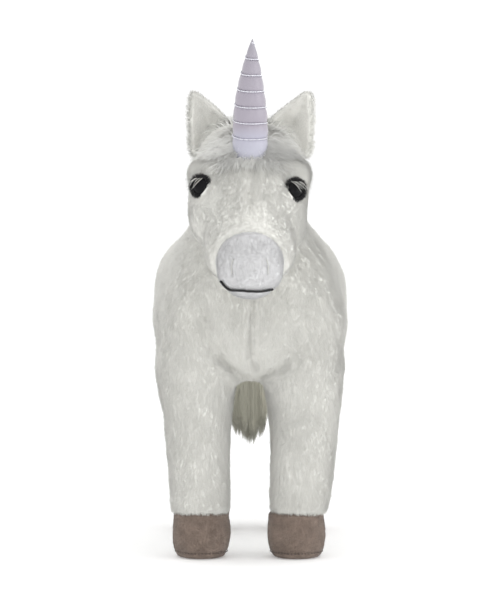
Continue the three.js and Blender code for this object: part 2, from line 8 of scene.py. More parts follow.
import bmesh
import bpy
import numpy as np
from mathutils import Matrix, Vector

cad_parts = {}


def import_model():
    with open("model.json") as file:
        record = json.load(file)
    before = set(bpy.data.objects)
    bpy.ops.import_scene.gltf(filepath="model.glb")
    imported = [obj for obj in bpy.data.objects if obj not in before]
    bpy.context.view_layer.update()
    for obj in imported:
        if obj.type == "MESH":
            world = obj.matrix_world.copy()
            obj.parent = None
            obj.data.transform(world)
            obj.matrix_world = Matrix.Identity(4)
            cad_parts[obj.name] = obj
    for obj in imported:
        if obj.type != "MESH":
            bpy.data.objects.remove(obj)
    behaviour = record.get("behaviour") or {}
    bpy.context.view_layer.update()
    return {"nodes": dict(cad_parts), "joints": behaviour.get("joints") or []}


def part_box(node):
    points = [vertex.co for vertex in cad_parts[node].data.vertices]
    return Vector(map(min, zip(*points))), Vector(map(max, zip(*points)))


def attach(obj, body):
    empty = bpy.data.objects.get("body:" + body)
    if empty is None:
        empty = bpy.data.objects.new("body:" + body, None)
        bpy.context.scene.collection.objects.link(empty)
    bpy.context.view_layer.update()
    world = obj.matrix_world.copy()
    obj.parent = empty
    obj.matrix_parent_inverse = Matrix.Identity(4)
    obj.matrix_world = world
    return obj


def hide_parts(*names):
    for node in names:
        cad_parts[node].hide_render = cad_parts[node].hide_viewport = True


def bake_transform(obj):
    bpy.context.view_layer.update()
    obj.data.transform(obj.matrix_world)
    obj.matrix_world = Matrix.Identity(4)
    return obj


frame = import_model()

import openvdb
from mathutils import Vector
from mathutils.bvhtree import BVHTree

MM = 0.001
SIDES = (("left", 1), ("right", -1))

# ---------------------------------------------------------------- places, from the frame

PIVOT = {j["name"]: np.array(j["pos_m"]) / MM for j in frame["joints"]}
NOD = PIVOT["neck_nod"]
TURN = PIVOT["head_turn"]
HORN = PIVOT["horn_flex"]
SWING = PIVOT["tail_swing"]
FRONT_HIP = PIVOT["leg_front_left_swing"]
HIND_HIP = PIVOT["leg_hind_left_swing"]
HIPS = {"front": FRONT_HIP, "hind": HIND_HIP}


def node_box(node):
    low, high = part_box(node)
    return np.array(low) / MM, np.array(high) / MM


HOOF_TOP = node_box("hoof_cover_front_left")[1][2]
HOOF_LOW, HOOF_HIGH = node_box("hoof_cover_front_left")
FOOT_X = (HOOF_LOW[0] + HOOF_HIGH[0]) / 2
BARREL_LOW, BARREL_HIGH = node_box("body_cover_left")
PLUSH = 2.5  # how far the cloth lies under the tips of its pile

# ---------------------------------------------------------------- materials


def principled(name, colour, roughness, **sockets):
    """A Principled material with its own colour and roughness, and any other socket by its name."""
    material = bpy.data.materials.new(name)
    material.use_nodes = True
    shader = material.node_tree.nodes["Principled BSDF"]
    shader.inputs["Base Color"].default_value = (*colour, 1)
    shader.inputs["Roughness"].default_value = roughness
    for socket, value in sockets.items():
        shader.inputs[socket.replace("_", " ")].default_value = value
    return material


def add_node(material, kind, **settings):
    node = material.node_tree.nodes.new(kind)
    for key, value in settings.items():
        if key in node.inputs:
            node.inputs[key].default_value = value
        else:
            setattr(node, key, value)
    return node


def link(material, source, target):
    material.node_tree.links.new(source, target)


def object_place(material):
    return add_node(material, "ShaderNodeTexCoord").outputs["Object"]


def noise(material, scale, detail=3.0):
    node = add_node(material, "ShaderNodeTexNoise", Scale=scale, Detail=detail)
    link(material, object_place(material), node.inputs["Vector"])
    return node.outputs["Fac"]


def ramp(material, factor, stops):
    node = add_node(material, "ShaderNodeValToRGB")
    elements = node.color_ramp.elements
    while len(elements) < len(stops):
        elements.new(0.5)
    for element, (place, colour) in zip(elements, stops):
        element.position = place
        element.color = (*colour, 1)
    link(material, factor, node.inputs["Fac"])
    return node.outputs["Color"]


def colour_by(material, factor, stops):
    shader = material.node_tree.nodes["Principled BSDF"]
    link(material, ramp(material, factor, stops), shader.inputs["Base Color"])


def bump_by(material, height, strength, distance):
    node = add_node(material, "ShaderNodeBump", Strength=strength, Distance=distance)
    link(material, height, node.inputs["Height"])
    shader = material.node_tree.nodes["Principled BSDF"]
    link(material, node.outputs["Normal"], shader.inputs["Normal"])


def cloth(name, dark, light, patch=35.0, grain=900.0, depth=0.0006, **sockets):
    """Cloth whose colour drifts between two tones in patches, with a fine nap in its surface."""
    material = principled(name, light, 0.95, Specular_IOR_Level=0.1, Sheen_Weight=0.25,
                          Sheen_Roughness=0.6, **sockets)
    colour_by(material, noise(material, patch), [(0.35, dark), (0.65, light)])
    bump_by(material, noise(material, grain, 2.0), 0.6, depth)
    return material


def shade(colour, factor):
    return tuple(min(1.0, c * factor) for c in colour)


def tints(name, colour, factors, **sockets):
    """Materials for the strands of one pile, a little darker and lighter than each other."""
    return [
        principled(f"{name}_{i}", shade(colour, factor), 0.9, Specular_IOR_Level=0.15,
                   Sheen_Weight=0.15, Sheen_Roughness=0.5, **sockets)
        for i, factor in enumerate(factors)
    ]


WHITE = (0.87, 0.865, 0.815)
COOL = (0.72, 0.72, 0.725)
CREAM = (0.70, 0.695, 0.65)
TAUPE = (0.215, 0.165, 0.135)
plush_cloth = cloth("plush_backing", shade(WHITE, 0.88), WHITE)
muzzle_cloth = cloth("short_pile_cloth", shade(COOL, 0.93), COOL, grain=1500.0, depth=0.0004)
lining_cloth = cloth("ear_lining_cloth", shade(CREAM, 0.9), CREAM, patch=60.0)
hoof_cloth = cloth("hoof_velour", shade(TAUPE, 0.8), shade(TAUPE, 1.15), patch=90.0, grain=700.0)
plush_pile = tints("plush_pile", WHITE, (0.965, 0.99, 1.01, 1.035))
muzzle_pile = tints("muzzle_pile", COOL, (0.92, 0.98, 1.03, 1.08))
long_pile = tints("long_pile", (0.92, 0.92, 0.88), (0.93, 0.98, 1.02, 1.06))
# the tail's grey-olive tone is painted shade: white hair coloured as dark as it looks in the shadow under
# the belly
tail_pile_painted_shade = tints("tail_pile_painted_shade", (0.56, 0.55, 0.465), (0.91, 0.97, 1.03, 1.08))
hoof_pile = tints("hoof_pile", TAUPE, (0.75, 0.95, 1.15, 1.4))
lash_pile = tints("lash_hair", (0.012, 0.012, 0.013), (0.7, 1, 1.6))


def black_eye():
    material = principled("eye_gloss", (0.003, 0.003, 0.004), 0.1, Specular_IOR_Level=0.14)
    bump_by(material, noise(material, 60.0), 0.02, 0.0003)
    return material


def satin():
    """Lilac satin: paler at the base band, with the fine threads of its weave running round."""
    material = principled("horn_satin", (0.6, 0.5, 0.66), 0.33, Sheen_Weight=0.5,
                          Sheen_Roughness=0.3, Coat_Weight=0.12, Coat_Roughness=0.25,
                          Specular_IOR_Level=0.55)
    split = add_node(material, "ShaderNodeSeparateXYZ")
    link(material, object_place(material), split.inputs[0])
    height = add_node(material, "ShaderNodeMapRange")
    height.inputs["From Min"].default_value = (HORN[2] + 2) * MM
    height.inputs["From Max"].default_value = (HORN[2] + 100) * MM
    link(material, split.outputs["Z"], height.inputs["Value"])
    colour_by(material, height.outputs["Result"], [
        (0.0, (0.46, 0.46, 0.54)), (0.12, (0.42, 0.41, 0.49)), (0.2, (0.355, 0.325, 0.38)),
        (0.75, (0.345, 0.32, 0.37)), (1.0, (0.33, 0.32, 0.36)),
    ])
    bump_by(material, noise(material, 260.0, 4.0), 0.35, 0.0006)
    return material


def glitter():
    material = principled("glitter_thread", (0.8, 0.8, 0.86), 0.25, Metallic=0.35,
                          Specular_IOR_Level=0.8)
    colour_by(material, noise(material, 1500.0), [(0.4, (0.55, 0.55, 0.62)), (0.6, (0.95, 0.95, 1.0))])
    return material


def washer_plastic():
    material = principled("washer_plastic", (0.8, 0.8, 0.78), 0.45)
    colour_by(material, noise(material, 120.0), [(0.4, (0.76, 0.76, 0.74)), (0.6, (0.82, 0.82, 0.8))])
    bump_by(material, noise(material, 1200.0), 0.15, 0.0002)
    return material


eye_black = black_eye()
horn_satin = satin()
glitter_thread = glitter()
thread_black = cloth("black_embroidery", (0.008, 0.008, 0.009), (0.02, 0.02, 0.021), grain=2500.0)
thread_white = cloth("white_thread", shade(WHITE, 0.7), shade(WHITE, 0.9), grain=2500.0)
thread_taupe = cloth("taupe_thread", shade(TAUPE, 0.4), shade(TAUPE, 0.6), grain=2500.0)
for side, _ in SIDES:
    frame["nodes"][f"eye_washer_{side}"].data.materials.clear()
    frame["nodes"][f"eye_washer_{side}"].data.materials.append(washer_plastic())

# ---------------------------------------------------------------- making meshes


def make_mesh(name, points, faces, materials, face_material=None):
    """A smooth object in a material slot, with one array of faces for each count of corners."""
    mesh = bpy.data.meshes.new(name)
    points = np.asarray(points, np.float32) * MM
    groups = [np.asarray(f, np.int32) for f in faces]
    mesh.vertices.add(len(points))
    mesh.vertices.foreach_set("co", points.ravel())
    loops = np.concatenate([g.ravel() for g in groups])
    sizes = np.concatenate([np.full(len(g), g.shape[1], np.int32) for g in groups])
    mesh.loops.add(len(loops))
    mesh.loops.foreach_set("vertex_index", loops)
    mesh.polygons.add(len(sizes))
    starts = np.concatenate([[0], np.cumsum(sizes)[:-1]])
    mesh.polygons.foreach_set("loop_start", starts.astype(np.int32))
    if face_material is not None:
        mesh.polygons.foreach_set("material_index", np.asarray(face_material, np.int32))
    mesh.polygons.foreach_set("use_smooth", np.ones(len(sizes), bool))
    mesh.update(calc_edges=True)
    mesh.validate()
    for material in materials:
        mesh.materials.append(material)
    made = bpy.data.objects.new(name, mesh)
    bpy.context.scene.collection.objects.link(made)
    return made


def unit(v):
    return v / np.maximum(np.linalg.norm(v, axis=-1, keepdims=True), 1e-9)


def ring_quads(count, around, start=0):
    """Quads between rings of points that follow each other."""
    a = start + np.arange(around)
    b = np.roll(a, -1)
    return np.concatenate([np.stack([a, b, b + around, a + around], 1) + i * around
                           for i in range(count - 1)])


def closed_rings(rings, low_hub, high_hub):
    """Points, quads and end triangles of a form through rings of points, with a hub in each end."""
    count, around = rings.shape[:2]
    points = np.concatenate([rings.reshape(-1, 3), [low_hub, high_hub]])
    low = np.arange(around)
    after = np.roll(low, -1)
    top = (count - 1) * around
    fans = [np.stack([after, low, np.full(around, count * around)], 1),
            np.stack([top + low, top + after, np.full(around, count * around + 1)], 1)]
    return points, ring_quads(count, around), np.concatenate(fans)


def full_turn(count):
    return np.linspace(0, 2 * np.pi, count, endpoint=False)


def turned(radius, angle, height):
    """Points about +Z; a radius or height may be one value or one for each angle."""
    height = np.broadcast_to(height, np.shape(angle))
    return np.stack([radius * np.cos(angle), radius * np.sin(angle), height], -1)


def lathe(profile):
    """A closed form turned about +Z, through (radius, height) with both ends on the axis."""
    profile = np.array(profile, float)
    rings = np.array([turned(radius, full_turn(48), height) for radius, height in profile[1:-1]])
    return closed_rings(rings, (0, 0, profile[0, 1]), (0, 0, profile[-1, 1]))


def tubes(name, paths, radius, material, sides=6, across=(0.21, 0.32, 0.92)):
    """Closed threads along lines of points, as one piece; radius is one value or one for each point."""
    points, quads, caps = [], [], []
    angle = full_turn(sides)[None, :, None]
    low = np.arange(sides)
    start = 0
    for path in paths:
        along = unit(np.gradient(path, axis=0))
        side = unit(np.cross(along, np.array(across)))
        up = np.cross(along, side)
        arm = side[:, None] * np.cos(angle) + up[:, None] * np.sin(angle)
        points.append((path[:, None] + arm * np.reshape(radius, (-1, 1, 1))).reshape(-1, 3))
        quads.append(ring_quads(len(path), sides, start))
        last = start + (len(path) - 1) * sides
        caps += [start + low[None, ::-1], last + low[None]]
        start += len(path) * sides
    faces = [np.concatenate(quads), np.concatenate(caps)]
    return make_mesh(name, np.concatenate(points), faces, [material])


STITCH = np.array([(0.0, 0.35), (0.12, 0.85), (0.5, 1.0), (0.88, 0.85), (1.0, 0.35)])  # share, fatness


def stitches(name, starts, finishes, radius, material, sides=6):
    """Short fat stitches from each start to each finish."""
    share, fat = STITCH.T
    paths = starts[:, None] + (finishes - starts)[:, None] * share[:, None]
    return tubes(name, paths, radius * fat, material, sides, across=(0.31, 0.2, 0.93))


class Room:
    """A grid of points that fields are worked out on."""

    def __init__(self, low, high, voxel):
        self.low = np.array(low, float)
        self.voxel = voxel
        counts = np.ceil((np.array(high, float) - self.low) / voxel).astype(int) + 1
        axes = [self.low[i] + voxel * np.arange(counts[i]) for i in range(3)]
        self.shape = tuple(counts)
        self.x = axes[0][:, None, None]
        self.y = axes[1][None, :, None]
        self.z = axes[2][None, None, :]

    def ellipsoid(self, centre, radii, lean=0.0):
        """Signed distance to an ellipsoid, leaned about X by some degrees."""
        x = self.x - centre[0]
        dy = self.y - centre[1]
        dz = self.z - centre[2]
        cos, sin = math.cos(math.radians(lean)), math.sin(math.radians(lean))
        y = dy * cos + dz * sin
        z = dz * cos - dy * sin
        near = np.sqrt((x / radii[0]) ** 2 + (y / radii[1]) ** 2 + (z / radii[2]) ** 2)
        steep = np.sqrt((x / radii[0] ** 2) ** 2 + (y / radii[1] ** 2) ** 2 + (z / radii[2] ** 2) ** 2)
        return near * (near - 1) / np.maximum(steep, 1e-6)

    def distance(self, size):
        """Signed distance from a form that is where size is 1."""
        steep = np.sqrt(sum(g**2 for g in np.gradient(size, self.voxel)))
        return (size - 1) / np.maximum(steep, 1e-6)

    def solid(self, points, quads, reach=10):
        """Signed distance to a closed mesh, up to some voxels away."""
        transform = openvdb.createLinearTransform(voxelSize=self.voxel)
        level = openvdb.FloatGrid.createLevelSetFromPolygons(
            (points - self.low).astype(np.float32), quads=quads.astype(np.uint32),
            transform=transform, halfWidth=float(reach))
        field = np.zeros(self.shape, np.float32)
        level.copyToArray(field)
        return field

    def surface(self, field):
        """The points and quads where a field is 0, with its faces outwards."""
        grid = openvdb.FloatGrid(float(field.max()))
        grid.copyFromArray(field.astype(np.float32))
        points, quads = grid.convertToQuads(isovalue=0.0)
        points = points.astype(float) * self.voxel + self.low
        corners = points[quads]
        volume = np.einsum("ij,ij->i", corners[:, 0], np.cross(corners[:, 1], corners[:, 2])).sum()
        return points, (quads if volume > 0 else quads[:, ::-1]).astype(np.int32)


def melt(a, b, width):
    """The union of two fields, with a fillet about as wide as said."""
    share = np.clip(0.5 + 0.5 * (b - a) / width, 0, 1)
    return b * (1 - share) + a * share - width * share * (1 - share)


def loft(rings, around=32, between=6):
    """Points and quads of a closed skin through rings of (y, z, across, deep, tilt), top ring first."""
    rings = np.array(rings, float)
    steps = (len(rings) - 1) * between + 1
    where = np.linspace(0, len(rings) - 1, steps)
    smooth = np.stack([catmull(rings[:, k], where) for k in range(rings.shape[1])], 1)
    angle = np.linspace(0, 2 * np.pi, around, endpoint=False)
    points = []
    for y, z, across, deep, tilt in smooth:
        forward = deep * np.sin(angle)
        lean = math.radians(tilt)
        points.append(np.stack([across * np.cos(angle), y + forward * math.cos(lean),
                                z + forward * math.sin(lean)], 1))
    hubs = [points[0].mean(0), points[-1].mean(0)]
    quads = [ring_quads(steps, around)]
    for ring, hub in ((0, steps * around), (steps - 1, steps * around + 1)):
        a = ring * around + np.arange(around)
        ends = np.full(around, hub)
        quads.append(np.stack([a, np.roll(a, -1), ends, ends], 1))
    return np.concatenate(points + [hubs]), np.concatenate(quads)


def catmull(values, where):
    """A smooth curve through values at 0, 1, 2 and so on."""
    padded = np.concatenate([[2 * values[0] - values[1]], values, [2 * values[-1] - values[-2]]])
    i = np.clip(where.astype(int), 0, len(values) - 2)
    t = where - i
    a, b, c, d = (padded[i + k] for k in range(4))
    return b + 0.5 * t * (c - a + t * (2 * a - 5 * b + 4 * c - d + t * (3 * (b - c) + d - a)))


def normals_of(points, quads):
    corners = points[quads]
    across = np.cross(corners[:, 2] - corners[:, 0], corners[:, 3] - corners[:, 1])
    total = np.zeros_like(points)
    for k in range(4):
        np.add.at(total, quads[:, k], across)
    return total / np.maximum(np.linalg.norm(total, axis=1, keepdims=True), 1e-9)


def near_line(points, line):
    """Each point's distance to a line of points."""
    line = np.array(line, float)
    best = np.full(len(points), 1e9)
    for a, b in zip(line[:-1], line[1:]):
        along = np.clip((points - a) @ (b - a) / max((b - a) @ (b - a), 1e-9), 0, 1)
        best = np.minimum(best, np.linalg.norm(points - a - along[:, None] * (b - a), axis=1))
    return best


def curve(line, count=24):
    """A smooth line through a few points."""
    line = np.array(line, float)
    where = np.linspace(0, len(line) - 1, count)
    return np.stack([catmull(line[:, k], where) for k in range(line.shape[1])], 1)


def crease(points, normals, line, depth, width, facing=0.2, swell=0.0):
    """Pulls the front of a skin in along a line of (x, z) points, and swells the cloth beside it."""
    away = near_line(points[:, [0, 2]], curve(line))
    front = np.clip((-normals[:, 1] - facing) / 0.2, 0, 1)
    pull = depth * np.exp(-((away / width) ** 2))
    if swell:
        pull -= swell * np.exp(-(((away - 2.2 * width) / width) ** 2))
    return points - normals * (pull * front)[:, None]


# ---------------------------------------------------------------- panels and pile


def cut_skin(points, quads, planes):
    """The skin as a bmesh, with clean edges where planes cross it."""
    skin = bmesh.new()
    made = [skin.verts.new(p) for p in points]
    for quad in quads:
        skin.faces.new([made[i] for i in quad])
    for place, normal in planes:
        bmesh.ops.bisect_plane(skin, geom=skin.verts[:] + skin.edges[:] + skin.faces[:], dist=0.15,
                               plane_co=Vector(place), plane_no=Vector(normal))
    bmesh.ops.triangulate(skin, faces=[f for f in skin.faces if len(f.verts) > 4])
    return skin


def panels(skin, name_of):
    """Splits a skin into one (points, faces) for each name that a face's middle is given."""
    skin.verts.index_update()
    skin.normal_update()
    points = np.array([v.co for v in skin.verts])
    normals = np.array([v.normal for v in skin.verts])
    faces = [[v.index for v in f.verts] for f in skin.faces]
    middles = np.array([points[f].mean(0) for f in faces])
    names = name_of(middles)
    found = {}
    for name in sorted(set(names)):
        own = [f for f, n in zip(faces, names) if n == name]
        used = np.unique(np.concatenate([np.array(f) for f in own]))
        new = np.full(len(points), -1)
        new[used] = np.arange(len(used))
        threes = [new[f] for f in own if len(f) == 3]
        fours = [new[f] for f in own if len(f) == 4]
        groups = [np.array(g) for g in (threes, fours) if g]
        found[name] = (points[used], groups, normals[used])
    return found


def shell(name, panel, material, thickness=1.6):
    """A panel as a closed piece of cloth, with its edges turned in."""
    points, groups, normals = panel
    count = len(points)
    inner = points - normals * thickness
    edges = {}
    for group in groups:
        for face in group:
            for a, b in zip(face, np.roll(face, -1)):
                edges[(a, b)] = edges.get((a, b), 0) + 1
    rim = [(a, b) for a, b in edges if (b, a) not in edges]
    faces = groups + [g[:, ::-1] + count for g in groups]
    if rim:
        rim = np.array(rim)
        faces.append(np.stack([rim[:, 1], rim[:, 0], rim[:, 0] + count, rim[:, 1] + count], 1))
    made = make_mesh(name, np.concatenate([points, inner]), faces, [material])
    facing = np.concatenate([normals, -normals]).astype(np.float32)
    made.data.normals_split_custom_set_from_vertices(facing)
    return made


def scatter(panel, density, rng):
    """Random places on a panel: points, normals."""
    points, groups, normals = panel
    triangles = []
    for group in groups:
        triangles.append(group[:, :3])
        if group.shape[1] == 4:
            triangles.append(group[:, [0, 2, 3]])
    triangles = np.concatenate(triangles)
    a, b, c = (points[triangles[:, k]] for k in range(3))
    area = np.linalg.norm(np.cross(b - a, c - a), axis=1) / 2
    count = int(area.sum() * density)
    pick = rng.choice(len(triangles), count, p=area / area.sum())
    u, v = rng.random((2, count))
    over = u + v > 1
    u[over], v[over] = 1 - u[over], 1 - v[over]
    weights = np.stack([1 - u - v, u, v], 1)[:, :, None]
    corner = triangles[pick]
    place = (points[corner] * weights).sum(1)
    normal = (normals[corner] * weights).sum(1)
    return place, normal / np.linalg.norm(normal, axis=1, keepdims=True)


def drift(points, size, seed):
    """A smooth random value from -1 to 1 that changes over about a size."""
    rng = np.random.default_rng(seed)
    total = np.zeros(len(points))
    for _ in range(6):
        wave = rng.normal(size=3) / size * 2.2
        total += np.sin(points @ wave + rng.random() * 2 * np.pi)
    return total / 3.2


def strands(name, paths, radius, materials, tint, facing=None):
    """Hair as a mesh: three-sided strands that taper to a point along paths of shape (count, steps, 3).

    facing is the way each strand is lit, which is the cloth's own normal on a soft pile.
    """
    count, steps, _ = paths.shape
    along = unit(np.gradient(paths, axis=1))
    side = unit(np.cross(along, np.array([0.3, 0.5, 0.81])))
    up = np.cross(along, side)
    taper = np.linspace(1, 0, steps) ** 0.6
    rings = []
    for angle in (0, 2 * np.pi / 3, 4 * np.pi / 3):
        arm = side * math.cos(angle) + up * math.sin(angle)
        rings.append(paths + arm * (taper[None, :, None] * np.reshape(radius, (-1, 1, 1))))
    ring = np.stack(rings, 2)[:, :-1].reshape(count, -1, 3)
    points = np.concatenate([ring, paths[:, -1:]], 1)
    per = points.shape[1]
    start = (np.arange(count) * per)[:, None]
    triangles = [start + np.array([[0, 2, 1]])]
    last = (steps - 2) * 3
    for k in range(3):
        triangles.append(start + np.array([[last + k, last + (k + 1) % 3, per - 1]]))
    quads = []
    for level in range(steps - 2):
        for k in range(3):
            a, b = level * 3 + k, level * 3 + (k + 1) % 3
            quads.append(start + np.array([[a, b, b + 3, a + 3]]))
    faces = [np.concatenate(triangles)]
    own = [np.tile(tint, 4)]
    if quads:
        faces.append(np.concatenate(quads))
        own.append(np.tile(tint, len(quads)))
    made = make_mesh(name, points.reshape(-1, 3), faces, materials, np.concatenate(own))
    if facing is not None:
        facing = np.repeat(facing, per, 0).astype(np.float32)
        made.data.normals_split_custom_set_from_vertices(facing)
    return made


def pile(name, panel, seed, density=1.35, length=4.5, radius=0.32, flow=None, lift=0.55, lay=0.8,
         materials=plush_pile, slot="white_plush", messy=0.16, longer=None, bare=None):
    """Short straight pile over a panel, laid along a flow, in soft patches."""
    rng = np.random.default_rng(seed)
    place, normal = scatter(panel, density, rng)
    if bare is not None:
        covered = ~bare(place)
        place, normal = place[covered], normal[covered]
    count = len(place)
    way = flow(place) if flow else np.tile([0.0, 0.25, -1.0], (count, 1))
    way = unit(way - (way * normal).sum(1, keepdims=True) * normal)
    sway = np.stack([drift(place, 18, 11 + k) for k in range(3)], 1) * 0.12
    aim = unit(normal * lift + way * lay + sway + rng.normal(size=(count, 3)) * messy)
    aim = unit(aim + normal * np.maximum(0.35 - (aim * normal).sum(1, keepdims=True), 0))
    reach = length * (0.85 + 0.3 * rng.random(count)) * (1 + 0.07 * drift(place, 9, 5))
    if longer is not None:
        reach = reach * longer(place, normal)
    root = place - normal * 0.4
    paths = np.stack([root, root + aim * reach[:, None]], 1)
    tone = drift(place, 22, 3) * 0.8 + rng.normal(size=count)
    tint = np.digitize(tone, [-0.9, 0.1, 1.1])
    facing = unit(normal + aim * 0.25 + rng.normal(size=(count, 3)) * 0.06)
    return strands(name, paths, radius, materials, tint, facing)


def hair(name, roots, ways, lengths, falls, body_name, radius=0.35, steps=5, materials=long_pile,
         slot="long_pile", seed=1, wave=0.12, facing=None):
    """Longer hair: each strand leaves its root along a way and bends towards its fall."""
    rng = np.random.default_rng(seed)
    count = len(roots)
    share = np.linspace(0, 1, steps)
    lengths = np.reshape(lengths, (-1, 1)) * np.ones((count, 1))
    paths = np.zeros((count, steps, 3))
    paths[:, 0] = roots
    twist = rng.normal(size=(count, 3)) * wave
    for k in range(1, steps):
        way = unit(ways * (1 - share[k]) + falls * share[k] + twist * math.sin(3 * share[k]))
        paths[:, k] = paths[:, k - 1] + way * lengths / (steps - 1)
    tint = np.digitize(drift(roots, 6, seed) + 0.6 * rng.normal(size=count), [-0.8, 0.1, 0.9])
    tint = np.minimum(tint, len(materials) - 1)
    made = strands(name, paths, radius, materials, tint, facing)
    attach(made, body_name)
    return made


def plush(name, panel, hold, stands_for, seed, fill=None, fabric=plush_cloth, slot="white_plush",
          pile_slot=None, thickness=1.6, **looks):
    """A panel's cloth and its pile, which hold puts on their bodies; fill is not used."""
    cover = shell(f"{name}_cloth", panel, fabric, thickness)
    fur = pile(f"{name}_pile", panel, seed, slot=pile_slot or slot, **looks)
    for piece in (cover, fur):
        hold(piece)
    if stands_for:
        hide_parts(*stands_for)


def riding(body_name):
    return lambda piece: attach(piece, body_name)


# ---------------------------------------------------------------- the body's skin


def column(room, heights, centres, radii, depth_centres):
    """Signed distance to an upright column whose centre and radius change with height."""
    z = room.z[0, 0]
    order = np.argsort(heights)
    heights = np.array(heights, float)[order]
    cx, r, cy = (np.interp(z, heights, np.array(v, float)[order]) for v in (centres, radii, depth_centres))
    away = np.sqrt((room.x - cx[None, None, :]) ** 2 + (room.y - cy[None, None, :]) ** 2)
    sides = away - r[None, None, :]
    low = heights[0] - room.z
    high = room.z - heights[-1]
    return np.maximum(sides, np.maximum(low, high))


def rounded(a, b, radius):
    """Where two fields are both inside, with a rounded edge."""
    return -melt(-a, -b, radius)


def body_field(room):
    half = (BARREL_HIGH - BARREL_LOW) / 2
    half = np.array([BARREL_HIGH[0], half[1], half[2]]) - PLUSH
    centre = (BARREL_HIGH + BARREL_LOW) / 2
    px = np.abs(room.x) / half[0]
    py = np.abs(room.y - centre[1]) / half[1]
    pz = np.abs(room.z - centre[2]) / half[2]
    size = ((px**2.25 + pz**2.25) ** (3.0 / 2.25) + py**3.0) ** (1 / 3.0)
    field = room.distance(size)
    hem = HOOF_TOP - 2
    for sign in (1, -1):
        shoulder = room.ellipsoid((sign * 49.5, FRONT_HIP[1] + 2, 204), (34.5, 40, 76))
        haunch = room.ellipsoid((sign * 48, HIND_HIP[1] - 6, 196), (38, 50, 66), lean=-12)
        stance = np.array([0.0, 1.0, 2.6, 2.4, 1.0, 0]) if sign > 0 else np.zeros(6)
        fore = column(room, (hem, 71, 110, 140, 175, 215),
                      sign * (np.array([45.3, 46.6, 48.6, 49.6, 49.6, 49.6]) + stance),
                      (25.6, 26.4, 28.2, 30.0, 31.5, 18), [FRONT_HIP[1]] * 6)
        rear = column(room, (hem, 71, 105, 140, 168, 215),
                      sign * np.array([47.8, 48.4, 49, 49.5, 49.5, 49.5]),
                      (25.6, 26.4, 28.2, 31.5, 33.5, 14), HIND_HIP[1] + np.array([-2.0, 3, 6, 0, -3, -4]))
        front_leg = melt(shoulder, rounded(fore, hem - room.z, 7), 16)
        hind_leg = melt(haunch, rounded(rear, hem - room.z, 7), 18)
        field = melt(field, front_leg, 11)
        field = melt(field, hind_leg, 16)
        flank = room.ellipsoid((sign * 60, FRONT_HIP[1] + 26, 217), (27, 44, 34))
        field = melt(field, flank, 12)
    chest = room.ellipsoid((0, FRONT_HIP[1] + 4, 232), (50, 43, 66), lean=4)
    field = melt(field, chest, 20)
    # the neck: its top end is round about the axis that the head turns on
    neck = column(room, (266, 336), (0, 0), (43, 43), (TURN[1], TURN[1]))
    neck = rounded(neck, room.z - 338, 6)
    withers = room.ellipsoid((0, NOD[1] - 6, NOD[2] + 2), (56, 52, 42), lean=-20)
    return melt(field, melt(withers, neck, 22), 26)


CHEST_SEAM = [(3.2, 240), (0.6, 212), (0.2, 190), (4.5, 176)]
CHEST_CREASES = [
    ([(-27, 185), (-20, 178.5), (-6.5, 167.5)], 3.2, 3.2),
    ([(9.5, 167), (25, 174.5), (32, 179)], 3.0, 3.2),
    ([(-42, 224), (-39, 206), (-30, 190)], 3.6, 10.0),
    ([(34, 184), (44, 191), (56, 208)], 3.6, 10.0),
]
KNEE_SEAM = [(39, 93), (41, 72), (40, 44)]
BELLY = 15.0  # half the belly panel's width
MIDDLE = 20.0  # where the front and hind flanks meet
RUMP = 95.0  # where the rump begins
NECK_WAY = np.array([0.0, -0.5, 0.87])
NECK_ROOT = 5.0  # how far along the neck, from the nod pivot, its panels begin


def body_skin():
    room = Room((-112, BARREL_LOW[1] - 22, HOOF_TOP - 14), (112, BARREL_HIGH[1] + 34, 352),
                3.0)
    points, quads = room.surface(body_field(room))
    normals = normals_of(points, quads)
    front = points[:, 1] < FRONT_HIP[1] + 10
    moved = crease(points, normals, CHEST_SEAM, 2.6, 2.8, swell=0.7)
    for line, depth, width in CHEST_CREASES:
        moved = crease(moved, normals, line, depth, width, swell=depth * 0.3)
    moved = crease(moved, normals, KNEE_SEAM, 1.0, 2.2)
    wrinkle = 0.7 * drift(points, 26, 21) + 0.35 * drift(points, 11, 22)
    points = np.where(front[:, None], moved, points) + normals * wrinkle[:, None]
    skin = cut_skin(points, quads, [
        ((0, 0, 0), (1, 0, 0)), ((0, 0, FRONT_HIP[2]), (0, 0, 1)), (NOD + NECK_ROOT * NECK_WAY, NECK_WAY),
        ((BELLY, 0, 0), (1, 0, 0)), ((-BELLY, 0, 0), (1, 0, 0)), ((0, MIDDLE, 0), (0, 1, 0)),
        ((0, RUMP, 0), (0, 1, 0)),
    ])

    def name_of(middle):
        x, y, z = middle.T
        side = np.where(x > 0, "left", "right").astype(object)
        end = np.where(y < MIDDLE, "front", "hind").astype(object)
        part = np.where(y > RUMP, "rump_" + side, "flank_" + end + "_" + side)
        hips = np.where(y < MIDDLE, FRONT_HIP[1], HIND_HIP[1])
        belly = (np.abs(x) < BELLY) & (z < 215) & (y > FRONT_HIP[1]) & (y < HIND_HIP[1] + 30)
        part[belly] = "belly"
        leg = (z < FRONT_HIP[2]) & (np.abs(x) > BELLY) & (np.abs(y - hips) < 50)
        part[leg] = ("leg_" + end + "_" + side)[leg]
        beyond = (middle - NOD) @ NECK_WAY > NECK_ROOT
        part[beyond] = ("neck_" + side)[beyond]
        return part

    return panels(skin, name_of)


def body_hold(name):
    """Leg and neck panels stay where they are made, with their place baked in; the rest is on the torso.
    """
    if name.startswith("leg"):
        return lambda piece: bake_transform(piece)
    if name.startswith("neck"):
        return lambda piece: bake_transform(piece)
    return riding("torso")


def body_flow(place):
    """The lie of the pile: down and back on the barrel, straight down on the legs and chest."""
    low = np.clip((place[:, 2] - 150) / 60, 0, 1)
    back = np.clip((place[:, 1] + 90) / 80, 0, 1) * low
    return np.stack([np.zeros(len(place)), 0.15 + 0.9 * back, np.full(len(place), -1.0)], 1)


